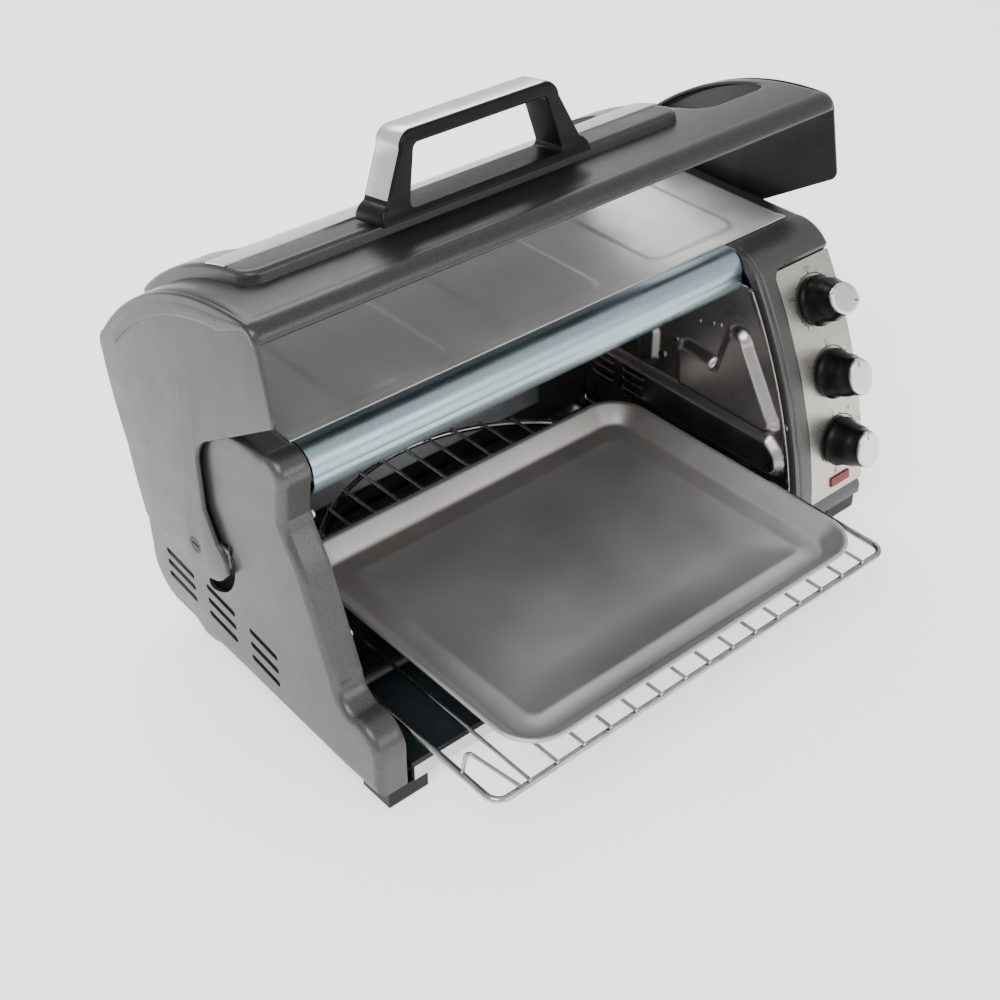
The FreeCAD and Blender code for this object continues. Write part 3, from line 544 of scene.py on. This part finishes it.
# near-black with little shine: painted shade for the hollow inside of the door, seen through its openings
DOOR_INSIDE_SHADE = moulded("door_inside_shade", (0.006, 0.006, 0.0065), 0.4, Specular_IOR_Level=0.15)
INK = moulded("black_ink", (0.02, 0.02, 0.02), 0.6)
BARE_LIP = satin_steel("bare_lip", (0.5, 0.5, 0.5), (0.64, 0.64, 0.63), 0.35)


def dress_nodes():
    """Gives every CAD node the look of its slot, but black hinge pins and a bare front lip on the tray."""
    lip_depth = 0.0036
    for part in frame["record"]["subparts"]:
        mesh = NODES[part["node"]].data
        mesh.materials.clear()
        mesh.materials.append(LOOKS[part["material_slot"]])
    NODES["hinge_pins"].data.materials[0] = LOOKS["black_plastic"]
    tray = NODES["crumb_tray"]
    tray.data.materials.append(BARE_LIP)
    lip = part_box("crumb_tray")[0].y + lip_depth
    for polygon in tray.data.polygons:
        if (tray.matrix_world @ polygon.center).y < lip:
            polygon.material_index = 1


# ---- body ----
def rear_steps():
    """Side covers' lower edge and back: rising base, low step, rounded corner, bowed back."""
    return ((-90.0, BASE_Z), (42.0, 19.0), ((46.5, 17.4), (51.0, 16.0)), (61.0, 15.6),
            ((67.0, 18.6), (73.0, 22.0)), (97.0, 23.0), ((114.0, 33.0), (122.0, 60.0)),
            ((123.0, 100.0), (118.0, 150.0)), ((114.0, 196.0), (94.0, TOP_Z)))


def side_holes():
    """Cooling slots and the guide pin's curved slot. The hinge pin fills its own hole."""
    slots = []
    for y0, y1, heights in VENTS:
        for z in heights:
            loop = rounded_rect(y0, y1, z - VENT_HALF, z + VENT_HALF, VENT_HALF - 0.1, 4)
            loop[:, 1] += (loop[:, 0] - y0) / (y1 - y0) * VENT_RISE
            slots.append(loop)
    turn = np.linspace(GUIDE_FIRST, GUIDE_LAST, 24)
    first_end = polar(HINGE_Y, HINGE_Z, GUIDE_R, GUIDE_FIRST)
    last_end = polar(HINGE_Y, HINGE_Z, GUIDE_R, GUIDE_LAST)
    ring = [polar(HINGE_Y, HINGE_Z, GUIDE_R + GUIDE_HALF, a) for a in turn]
    ring += [polar(*last_end, GUIDE_HALF, GUIDE_LAST + a) for a in range(30, 180, 30)]
    ring += [polar(HINGE_Y, HINGE_Z, GUIDE_R - GUIDE_HALF, a) for a in turn[::-1]]
    ring += [polar(*first_end, GUIDE_HALF, GUIDE_FIRST + 180 + a) for a in range(30, 180, 30)]
    return slots + [np.array(ring)]


def left_casing():
    """Left side cover, with the rounded rim and step of its front edge."""
    shape = outline((-31.0, TOP_Z), ((-49.0, 207.0), (-50.0, 196.0)), ((-48.0, 184.0), (-46.6, 171.5)),
                    (-63.0, 145.0), (-89.0, 78.0), ((-94.0, 66.0), (-104.0, 61.0)),
                    ((-122.0, 57.0), (-129.0, 45.0)), (-129.0, BASE_Z), *rear_steps(), step=8.0)
    part = cover_shell(shape, -SIDE_X, CAVITY_LEFT, 6.0, side_holes())
    piece("left_cover", *part, LOOKS["casing_paint"], "housing", ["left_casing"], "casing_paint")


def control_point(r, z):
    """Point at a height on the control front's curve, or on one of another radius about its centre."""
    return (CONTROL_Y - math.sqrt(r * r - (z - CONTROL_Z) ** 2), z)


def control_dent(ring):
    """Recess for the faceplate and the groove beside the cavity, pressed into the control front."""
    x, y, z = ring.T
    dy, dz = y - CONTROL_Y, z - CONTROL_Z
    r = np.hypot(dy, dz)
    front = (y < -30.0) & (r > CONTROL_R - 12.0)
    recess = PLATE_RECESS * raised(box_distance(x, z, 173.5, 260.0, 24.5, 196.5, 7.0), 2.2)
    groove = GROOVE_DEPTH * np.exp(-((x - GROOVE_X) / 0.9) ** 2)
    depth = np.where(front, np.maximum(recess, groove), 0) / r
    return np.column_stack([x, y - dy * depth, z - dz * depth])


def right_casing():
    """Right side cover. Its rings lie closest together where the recess and the groove bend it."""
    top = TOP_Z - 1.4                   # under the top sheet, which laps over it
    start = control_point(CONTROL_R, 198.0)
    front = arc(start, control_point(CONTROL_R, 121.0), control_point(CONTROL_R, 40.0), 2.0)
    shape = [(-31.0, top)] + arc((-31.0, top), (-50.0, 208.5), start) + front
    shape = np.concatenate([shape, outline(front[-1], (-120.0, BASE_Z), *rear_steps()[:-1],
                                           ((113.0, 195.0), (94.0, top)), step=6.0)[1:]])
    xs = np.concatenate([np.arange(SIDE_X - 5.0, 178.0, -4.0), np.arange(178.0, 170.0, -0.8),
                         np.arange(170.0, CAVITY_RIGHT + 1.2, -0.45)])
    part = cover_shell(shape, SIDE_X, CAVITY_RIGHT, 3.0, side_holes(), CONTROL_RIM, xs, control_dent)
    piece("right_cover", *part, LOOKS["casing_paint"], "housing", ["right_casing"], "casing_paint")


def top_cover():
    """Satin sheet with three pressed pads, its back rolled down to the rear panel."""
    profile = outline((-30.7, TOP_Z), (94.0, TOP_Z), ((114.0, 196.0), (118.0, 150.0)), step=2.0)
    x0, x1 = CAVITY_LEFT + 0.3, 219.0
    pad_middles, pad_half, pad_height = (141.5, 10.5, -120.5), 39.0, 1.0
    us = np.linspace(x0, x1, 240)
    vs = np.linspace(0, profile_length(profile), 110)
    x, s, faces = sheet(us, vs)
    pads = sum(raised(box_distance(x, s, middle - pad_half, middle + pad_half, 16.0, 118.0, 9.0), 4.0)
               for middle in pad_middles)
    field = np.clip(np.minimum(s - 3, 150 - s) / 6, 0, 1)           # 0 at the front edge and round the back
    points = along(profile, s, -pad_height * (1 - pads) * field)
    part = (np.column_stack([x, points]), faces)
    obj = piece("top_sheet", *part, LOOKS["cover_steel"], "housing", ["top_cover"], "cover_steel")
    thicken(obj, 1.0, (0, 40, 60))


def liner_panel(y, z):
    """Height of the right cavity wall's pressings: big panel, rack guide, two pads and front lip."""
    panel_height, pad_height, lip_height = 6.0, 4.0, 3.0
    big = outline((-60.0, 145.0), ((-56.0, 150.0), (-50.0, 148.0)), ((-46.0, 134.0), (-42.0, 118.0)),
                  ((-38.0, 113.5), (-31.0, 117.5)), (-8.0, 118.5), ((-3.5, 116.0), (-4.0, 110.0)),
                  (-5.6, 90.0), (-87.5, 88.5), ((-90.5, 92.0), (-88.0, 98.0)))
    height = panel_height * raised(outline_distance(y, z, big), 8.0)
    guide = outline((-90.0, 79.0), (95.0, 79.0), (95.0, 56.0), (-97.0, 56.0), ((-100.0, 62.0), (-96.0, 74.0)))
    height = np.maximum(height, panel_height * raised(outline_distance(y, z, guide), 6.0))
    for low, high in ((92.0, 121.0), (126.0, 160.0)):
        pad = raised(box_distance(y, z, 26.0, 38.0, low, high, 5.0), 5.0)
        height = np.maximum(height, pad_height * pad)
    front_edge = CONTROL_R - 6.5 - np.hypot(y - CONTROL_Y, z - CONTROL_Z)
    return np.maximum(height, lip_height * raised(front_edge, 2.5))


def right_liner():
    """Pressed right wall of the cavity, with two groups of slots."""
    edge_r, grid = CONTROL_R - 3.0, 1.25
    top, bottom, back = 190.0, 22.0, 98.0
    start = control_point(edge_r, top)
    front = [start] + arc(start, control_point(edge_r, 112.0), control_point(edge_r, 34.0), 4.0)
    shape = np.array([(-36.0, top)] + front + [(-112.0, bottom), (back, bottom), (back, top)])
    slots = [(y, z) for y in (41.0, 73.0) for z in (59.5, 67.5, 75.5)]

    def cut(y, z):
        """Distance inside the wall's outline and outside its slots."""
        distance = -outline_distance(y, z, shape)
        for middle_y, middle_z in slots:
            hole = box_distance(y, z, middle_y - 11, middle_y + 11, middle_z - 1.5, middle_z + 1.5, 1.4)
            distance = np.minimum(distance, hole)
        return distance

    y, z, faces = sheet(np.arange(-122.0, back + 2, grid), np.arange(bottom - 2, top + 2, grid), cut)
    part = (np.column_stack([RIGHT_WALL - liner_panel(y, z), y, z]), faces)
    obj = piece("right_liner", *part, LOOKS["liner_enamel"], "housing", ["liner_right"], "liner_enamel")
    thicken(obj, 0.6, (400, 0, 100))


# ---- door ----
def door_profile():
    """Side profile of the door's skin, from its lip to its rear edge, door closed."""
    lip, middle, rear = (polar(SHELL_Y, SHELL_Z, SHELL_R, a) for a in (LIP_ANGLE, MIDDLE_ANGLE, REAR_ANGLE))
    return outline((-151.5, 28.0), ((-158.6, 33.0), lip), (middle, rear))


def on_shell(x, angle, out):
    """Points on the door's curve, out from its skin."""
    a = np.radians(angle)
    r = SHELL_R + out
    return np.column_stack([x, SHELL_Y + r * np.cos(a), SHELL_Z + r * np.sin(a)])


def door_skin():
    """Outer skin with rounded ends, open behind the window and over the controls."""
    profile = door_profile()
    start = profile_length(profile) - SHELL_R * math.radians(LIP_ANGLE - REAR_ANGLE)
    round_r, flange = 9.0, 14.5
    least_fold, unfolding = 0.35, 25.0

    def arc_length(angle):
        """Place along the profile of an angle round the door's curve."""
        return start + SHELL_R * math.radians(LIP_ANGLE - angle)

    def cut(u, s):
        """Distance outside the openings for the window and the controls."""
        window = box_distance(u, s, -190.0, 112.0, arc_length(154.2), arc_length(130.8), 12.0)
        controls = box_distance(u, s, 152.5, 222.5, arc_length(165.0), arc_length(129.2), 17.0)
        return np.minimum(window, controls)

    half = DOOR_EDGE - round_r                      # the flat middle, then a bend, then a flange
    bend = round_r * math.pi / 2
    reach = half + bend + flange - round_r
    us = np.concatenate([np.linspace(-reach, -half - bend, 4)[:-1], np.linspace(-half - bend, -half, 9)[:-1],
                         np.linspace(-half, half, 230), np.linspace(half, half + bend, 9)[1:],
                         np.linspace(half + bend, reach, 4)[1:]])
    vs = np.linspace(0, profile_length(profile), 130)
    u, s, faces = sheet(us, vs, cut)
    beyond = np.clip(np.abs(u) - half, 0, bend)
    down = np.clip(np.abs(u) - half - bend, 0, None)
    a = beyond / round_r
    x = np.sign(u) * (np.minimum(np.abs(u), half) + round_r * np.sin(a))
    # the lip's own curve is tight, so the ends fold less there
    shallow = np.clip(least_fold + (1 - least_fold) * (s - start) / unfolding, least_fold, 1)
    points = along(profile, s, -(round_r * (1 - np.cos(a)) + down) * shallow)
    part = opened((np.column_stack([x, points]), faces))
    obj = piece("door_skin", *part, LOOKS["door_paint"], "door", ["door_shell"], "door_paint", sharp=50)
    obj.data.materials.append(DOOR_INSIDE_SHADE)
    middle = turned([(0, SHELL_Y, SHELL_Z)], HINGE_Y, HINGE_Z, -DOOR_SWING)[0]
    # the skin's inner faces take the near-black painted shade of the door's hollow inside
    thicken(obj, 1.8, middle).modifiers["thickness"].material_offset = 1


def door_cheek(side):
    """End plate with the arm down to the hinge; the skin's rounded end laps over it."""
    edge_r, pin_hole_r = SHELL_R - 0.6, 6.06
    front, bulge, top = (polar(SHELL_Y, SHELL_Z, edge_r, a) for a in (LIP_ANGLE, MIDDLE_ANGLE, 124.0))
    shape = outline((-150.8, 28.6), ((-157.6, 33.6), front), (bulge, top), ((-52.6, 206.0), (-44.0, 204.2)),
                    ((-14.0, 195.6), (16.0, 183.0)), ((40.0, 175.8), (60.0, 168.5)),
                    ((68.0, 163.0), (69.5, 154.0)), (67.0, 104.0), ((58.0, 78.0), (47.0, 68.5)),
                    ((38.0, 71.0), (30.0, 80.0)), (10.0, 92.5), (-24.0, 96.5), ((-38.0, 94.0), (-50.0, 83.0)),
                    (-101.0, 18.5), ((-105.0, 15.2), (-111.0, 15.6)), step=6.0)
    hole = np.array([polar(HINGE_Y, HINGE_Z, pin_hole_r, a) for a in range(0, 360, 12)])
    inner, outer = DOOR_EDGE - 3.0, DOOR_EDGE - 0.5
    part = opened(slab(shape, [hole], side * outer, side * inner, 2.0, 0.2))
    name = "right" if side > 0 else "left"
    piece("cheek_" + name, *part, LOOKS["door_paint"], "door", ["door_cheek_" + name], "door_paint")


def even_ring(box, r, out):
    """Rounded rectangle on the door's curve with the same number of points whatever its size."""
    long_side, short_side = 40, 24
    x0, x1, low, high = box
    corners = rounded_rect(x0, x1, low / DEGREES_PER_MM, high / DEGREES_PER_MM, r)
    per_corner = len(corners) // 4
    points = []
    for i, p in enumerate(corners):
        q = corners[(i + 1) % len(corners)]
        corner, place = divmod(i, per_corner)
        count = 1
        if place == per_corner - 1:
            count = short_side if corner % 2 else long_side
        points += [p + (q - p) * k / count for k in range(count)]
    points = np.array(points)
    return on_shell(points[:, 0], points[:, 1] * DEGREES_PER_MM, out)


def smaller(box, d):
    """Box of x in millimetres and angles in degrees, drawn in by a distance."""
    x0, x1, low, high = box
    return x0 + d, x1 - d, low + d * DEGREES_PER_MM, high - d * DEGREES_PER_MM


def window_surround():
    """Raised frame round the window, lofted over the door's curve from its foot to the glass."""
    outer = (-213.0, 133.0, 128.4, 165.6)
    inner = (-184.0, 106.0, 132.0, 153.0)
    draft, outer_r, inner_r, glass_out = 0.6, 3.4, 1.6, 5.1
    rings = [even_ring(outer, 13.0, -0.3), even_ring(smaller(outer, draft), 13.0, FRAME_H - outer_r)]
    for inward, depth in quarter(outer_r, 5)[1:]:
        rings.append(even_ring(smaller(outer, draft + depth), 12.0, FRAME_H - inward))
    first = np.array(smaller(outer, draft + outer_r))
    last = np.array(smaller(inner, -inner_r))
    for t in np.linspace(0, 1, 9)[1:]:
        rings.append(even_ring(first + (last - first) * t, 12.0 + 1.0 * t, FRAME_H))
    for inward, depth in quarter(inner_r, 4)[1:]:
        rings.append(even_ring(smaller(inner, -inward), 12.0, FRAME_H - depth))
    rings.append(even_ring(inner, 12.0, glass_out))
    part = opened(loft(rings))
    piece("surround", *part, LOOKS["door_paint"], "door", ["window_surround"], "door_paint", sharp=60)


def on_door(points):
    """Places points drawn as (x, depth, height) square to the door where the handle stands."""
    y, z = polar(SHELL_Y, SHELL_Z, SHELL_R + FRAME_H, HANDLE_ANGLE)
    p = turned(points, 0, 0, HANDLE_ANGLE - 90)
    return p + (HANDLE_X, y, z)


def handle():
    """Cast loop on two flared feet, with a bright band let into its top and sides."""
    foot, top, half = 81.3, 49.5, 12.5              # half widths of the feet and the top, half depth
    flare, flare_from, flare_over = 0.27, 13.0, 11.0
    over_top = (((-58.0, 48.6), (-top, HANDLE_H)), (top, HANDLE_H), ((58.0, 48.6), (61.4, 41.0)))
    outer = outline((-foot, 1.2), (-foot + 0.2, 6.0), ((-foot + 1.8, 9.0), (-75.2, 12.0)), (-61.4, 41.0),
                    *over_top, (75.2, 12.0), ((foot - 1.8, 9.0), (foot - 0.2, 6.0)), (foot, 1.2), step=6.0)
    gap = outline((-55.5, 6.3), ((-58.2, 7.4), (-58.8, 10.5)), (-52.0, 38.4), ((-50.3, 41.6), (-46.8, 42.6)),
                  (46.8, 42.6), ((50.3, 41.6), (52.0, 38.4)), (58.8, 10.5), ((58.2, 7.4), (55.5, 6.3)),
                  step=6.0)
    rings = [at_x(inset(outer, inward), -half + depth) for inward, depth in quarter(2.0, 5)]
    rings += [mirrored_x(ring) for ring in rings[::-1]]
    holes = [at_x(inset(gap, -inward), -half + depth) for inward, depth in quarter(1.6, 4)]
    holes += [mirrored_x(ring) for ring in holes[::-1]]
    ends = [flat_cap([rings[0], holes[0]]), flat_cap([rings[-1], holes[-1]])]
    points, faces = joined([loft(rings), loft(holes), *ends])
    depth, x, height = points.T
    widen = 1 + flare * np.clip((flare_from - height) / flare_over, 0, 1) ** 2
    points = on_door(np.column_stack([x, depth * widen, height]))
    piece("grip", *opened((points, faces)), LOOKS["black_plastic"], "door", ["handle_grip"], "black_plastic")

    band = outline((-74.0, 14.6), (-61.4, 41.0), *over_top, (74.0, 14.6), step=6.0)
    out_of_band = -normals(band, closed=False)
    section = [(-0.8, -10.4), (0.05, -10.4), (0.3, -9.8), (0.3, 9.8), (0.05, 10.4), (-0.8, 10.4)]
    rings = [[(x + nx * out, across, z + nz * out) for out, across in section]
             for (x, z), (nx, nz) in zip(band, out_of_band)]
    points, faces = loft(rings, cap_first=True, cap_last=True)
    points = on_door(points)
    piece("grip_band", *opened((points, faces)), LOOKS["chrome_trim"], "door", ["handle_trim"], "chrome_trim")


# ---- controls ----
def knob_frame(height):
    """Placement of a knob's own frame: its axis is square to the control front."""
    tilt = math.acos((height - CONTROL_Z) / PLATE_R)
    y, z = control_point(PLATE_R, height)
    return Matrix.Translation((KNOB_X, y, z)) @ Matrix.Rotation(tilt, 4, "X")


def placed(points, matrix):
    """Points put into a frame."""
    return np.array([tuple(matrix @ Vector(p)) for p in points])


def leaf_radius(a, half_length, half_width):
    """Polar radius of a leaf: the overlap of two equal circles, long along the local y."""
    r = (half_length ** 2 + half_width ** 2) / (2 * half_width)
    off = r - half_width
    return -off * np.abs(np.cos(a)) + np.sqrt(r * r - (off * np.sin(a)) ** 2)


def knob(name, turn):
    """Flared black body that narrows into a leaf-shaped grip, with a bright face and a dark pointer."""
    a = np.linspace(0, 2 * math.pi, 97)[:-1]
    leaf = leaf_radius(a, 15.2, 11.8)

    def ring(z, r, blend, shrink=0.0):
        """Ring at a height that goes from a circle to the leaf as blend goes from 0 to 1."""
        radius = r * (1 - blend) + (leaf - shrink) * blend
        return np.column_stack([radius * np.cos(a + turn), radius * np.sin(a + turn), np.full(len(a), z)])

    round_part = [(2.3, 17.6), (2.5, 18.3), (4.2, 18.4), (5.0, 17.8), (6.5, 17.0), (10.0, 16.2),
                  (14.0, 15.7), (17.5, 15.3)]
    narrowing = [(19.0, 14.8, 0.15), (21.0, 14.6, 0.45), (23.0, 14.6, 0.75), (24.6, 14.6, 0.93),
                 (25.6, 14.6, 1.0)]
    matrix = knob_frame(KNOB_HEIGHTS[name])
    rings = [ring(z, r, 0) for z, r in round_part] + [ring(*step) for step in narrowing]
    points, faces = loft(rings, cap_first=True, cap_last=True)
    body = name + "_control"
    piece(name + "_dial", placed(points, matrix), faces, LOOKS["black_plastic"], body, [name + "_knob"],
          "black_plastic")
    face = [(25.5, 0.5), (27.3, 0.5), (28.0, 0.9), (28.4, 1.8), (28.5, 3.2)]
    points, faces = loft([ring(z, 0, 1.0, shrink) for z, shrink in face], cap_first=True, cap_last=True)
    piece(name + "_face", placed(points, matrix), faces, LOOKS["chrome_trim"], body, [name + "_knob_cap"],
          "chrome_trim")
    mark = [(-0.55, 8.5, 28.56), (0.55, 8.5, 28.56), (0.55, 12.2, 28.5), (-0.55, 12.2, 28.5)]
    mark += [(x, y, 27.9) for x, y, _ in mark]
    spun = placed(mark, matrix @ Matrix.Rotation(turn, 4, "Z"))
    faces = [(0, 1, 2, 3), (7, 6, 5, 4)] + [(i, (i + 1) % 4, (i + 1) % 4 + 4, i + 4) for i in range(4)]
    piece(name + "_pointer", spun, faces, INK, body)


def printed(name, parts, height):
    """Thin ink marks drawn in a knob's frame and wrapped on the plate's curve."""
    points, faces = joined(parts)
    points[:, 2] += 0.06 - points[:, 1] ** 2 / (2 * PLATE_R)
    piece(name, placed(points, knob_frame(height)), faces, INK, "housing")


def ring_mark(r, first, last, width=0.8):
    """Arc line of ink about a knob; angles run clockwise from the top."""
    steps = np.radians(np.linspace(first, last, max(4, int(abs(last - first) / 4))))
    inner = [(r * math.sin(t), r * math.cos(t), 0) for t in steps]
    outer = [((r + width) * math.sin(t), (r + width) * math.cos(t), 0) for t in steps]
    count = len(steps)
    return inner + outer, [(i, i + 1, count + i + 1, count + i) for i in range(count - 1)]


def tick(angle, r0, r1, width=0.8):
    """Radial stroke of ink between two radii."""
    t = math.radians(angle)
    along_tick = np.array([math.sin(t), math.cos(t)])
    across = np.array([math.cos(t), -math.sin(t)]) * width / 2
    near, far = along_tick * r0, along_tick * r1
    corners = [near - across, near + across, far + across, far - across]
    return [(x, y, 0) for x, y in corners], [(0, 1, 2, 3)]


def digits(text, x, y, size):
    """Outline of a printed number as a flat mesh."""
    curve = bpy.data.curves.new("number", "FONT")
    curve.body = text
    curve.size = size
    curve.align_x = "CENTER"
    curve.align_y = "CENTER"
    curve.resolution_u = 2
    holder = bpy.data.objects.new("number", curve)
    mesh = bpy.data.meshes.new_from_object(holder)
    points = [(v.co.x + x, v.co.y + y, 0) for v in mesh.vertices]
    faces = [tuple(polygon.vertices) for polygon in mesh.polygons]
    bpy.data.objects.remove(holder)
    bpy.data.meshes.remove(mesh)
    bpy.data.curves.remove(curve)
    return points, faces


def scale_marks(first, last, labels, minor):
    """Ticks spread evenly round a knob, clockwise from the first angle, and a label at every minor-th."""
    long_tick, short_tick = 1.9, 1.1
    label_x, label_y = SCALE_R + 4.4, SCALE_R + 3.9         # digits are wider than high
    digit_size = 4.0
    parts = []
    steps = (len(labels) - 1) * minor
    for i in range(steps + 1):
        angle = first + (last - first) * i / steps
        major = i % minor == 0
        parts.append(tick(angle, SCALE_R, SCALE_R + (long_tick if major else short_tick)))
        if major and labels[i // minor]:
            t = math.radians(angle)
            parts.append(digits(labels[i // minor], label_x * math.sin(t), label_y * math.cos(t), digit_size))
    return parts


def printing():
    """Scale round each knob."""
    # name, first and last angle, angle at which the arc starts, labels, ticks per label
    scales = (("temperature", -140, 140, -140, ("", "150", "250", "350", "450"), 3),
              ("function", -60, 60, -60, ("1", "2", "3"), 1),
              ("timer", -50, 190, -120, ("0", "5", "10", "15", "20", "25", "30"), 2))
    for name, first, last, arc_first, labels, minor in scales:
        marks = scale_marks(first, last, labels, minor) + [ring_mark(SCALE_R - 0.8, arc_first, last)]
        printed(name + "_scale", marks, KNOB_HEIGHTS[name])


# ---- pan ----
def baking_pan():
    """Drawn tray: rolled rim, sloped walls, and a floor with a raised border line."""
    low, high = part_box("baking_pan")
    x0, x1 = 1000 * low.x, 1000 * high.x
    y0, y1 = 1000 * low.y - SHIFT_Y, 1000 * high.y - SHIFT_Y
    floor, rim = 1000 * low.z, 1000 * high.z

    def ring(d, z):
        """Ring at a height, drawn in by a distance from the pan's outer edge."""
        r = max(30.0 - 0.95 * d, 8.0)
        points = rounded_rect(x0 + d, x1 - d, y0 + d, y1 - d, r, 14)
        return np.column_stack([points, np.full(len(points), z)])

    outside = [(60.0, floor), (15.5, floor), (13.6, floor + 0.6), (12.4, floor + 2.4), (5.0, rim - 2.6)]
    roll_r = (2.1, 1.5)
    roll = []
    for degrees in range(0, 181, 20):
        a = math.radians(degrees)
        roll.append((roll_r[0] * (1 - math.sin(a)), rim - roll_r[1] * (1 + math.cos(a))))
    inside = [(3.4, rim - 0.5), (4.6, rim - 1.6), (13.4, floor + 3.4), (14.8, floor + 1.7),
              (17.0, floor + 0.9)]
    border = [(27.0, floor + 0.9), (28.4, floor + 1.7), (30.4, floor + 1.9), (32.4, floor + 1.7),
              (33.8, floor + 0.9), (60.0, floor + 0.8)]
    steps = outside + roll + inside + border
    part = loft([ring(*step) for step in steps], cap_first=True, cap_last=True)
    piece("pan", *part, LOOKS["pan_aluminium"], "pan", ["baking_pan"], "pan_aluminium", sharp=50)


# ---- stage ----
def stage():
    """Pale floor that glows as strongly as the world."""
    half = 4
    corners = [(-half, -half, 0), (half, -half, 0), (half, half, 0), (-half, half, 0)]
    mesh = bpy.data.meshes.new("floor")
    mesh.from_pydata(corners, [], [(0, 1, 2, 3)])
    floor = bpy.data.objects.new("floor", mesh)
    bpy.context.scene.collection.objects.link(floor)
    look = Look("pale_floor", Roughness=0.7)
    look.colour(look.noise(0.5, 2.0), (0.93, 0.93, 0.93), (0.96, 0.96, 0.96))
    look.shader.inputs["Emission Color"].default_value = (1, 1, 1, 1)
    look.shader.inputs["Emission Strength"].default_value = 1.0
    mesh.materials.append(look.material)


def soft_light(name, place, target, size, power, tint=(1, 1, 1)):
    """Rectangular lamp that faces a target."""
    data = bpy.data.lights.new(name, "AREA")
    data.shape = "RECTANGLE"
    data.size, data.size_y = size
    data.energy = power
    data.color = tint
    lamp = bpy.data.objects.new(name, data)
    lamp.location = place
    lamp.rotation_euler = (Vector(target) - Vector(place)).to_track_quat("-Z", "Y").to_euler()
    bpy.context.scene.collection.objects.link(lamp)


def studio():
    """White world and three soft lamps."""
    world = bpy.data.worlds.new("studio")
    world.use_nodes = True
    background = world.node_tree.nodes["Background"]
    background.inputs["Color"].default_value = (1, 1, 1, 1)
    background.inputs["Strength"].default_value = 0.95
    bpy.context.scene.world = world
    soft_light("key", (-1.2, -0.6, 1.7), (0, 0, 0.15), (1.2, 1.0), 26)
    soft_light("front", (0.4, -1.9, 0.9), (0, 0, 0.15), (1.6, 0.8), 12)
    soft_light("back_top", (0.5, 1.3, 1.5), (0, 0, 0.2), (1.6, 0.9), 18, (0.93, 0.97, 1.0))


def camera():
    """High at the front left corner, about 1.1 m from the oven's middle."""
    data = bpy.data.cameras.new("camera")
    data.lens = 58.07
    data.sensor_width = 36
    data.shift_y = -0.05
    lens = bpy.data.objects.new("camera", data)
    lens.location = (-0.6152, -0.6627, 0.7385)
    lens.rotation_euler = Vector((0.53686, 0.61637, -0.57608)).to_track_quat("-Z", "Y").to_euler()
    bpy.context.scene.collection.objects.link(lens)
    bpy.context.scene.camera = lens


camera()
stage()
studio()
dress_nodes()
left_casing()
right_casing()
top_cover()
right_liner()
door_skin()
door_cheek(-1)
door_cheek(1)
window_surround()
handle()
knob("temperature", math.radians(-115))
knob("function", math.radians(12))
knob("timer", math.radians(8))
printing()
baking_pan()
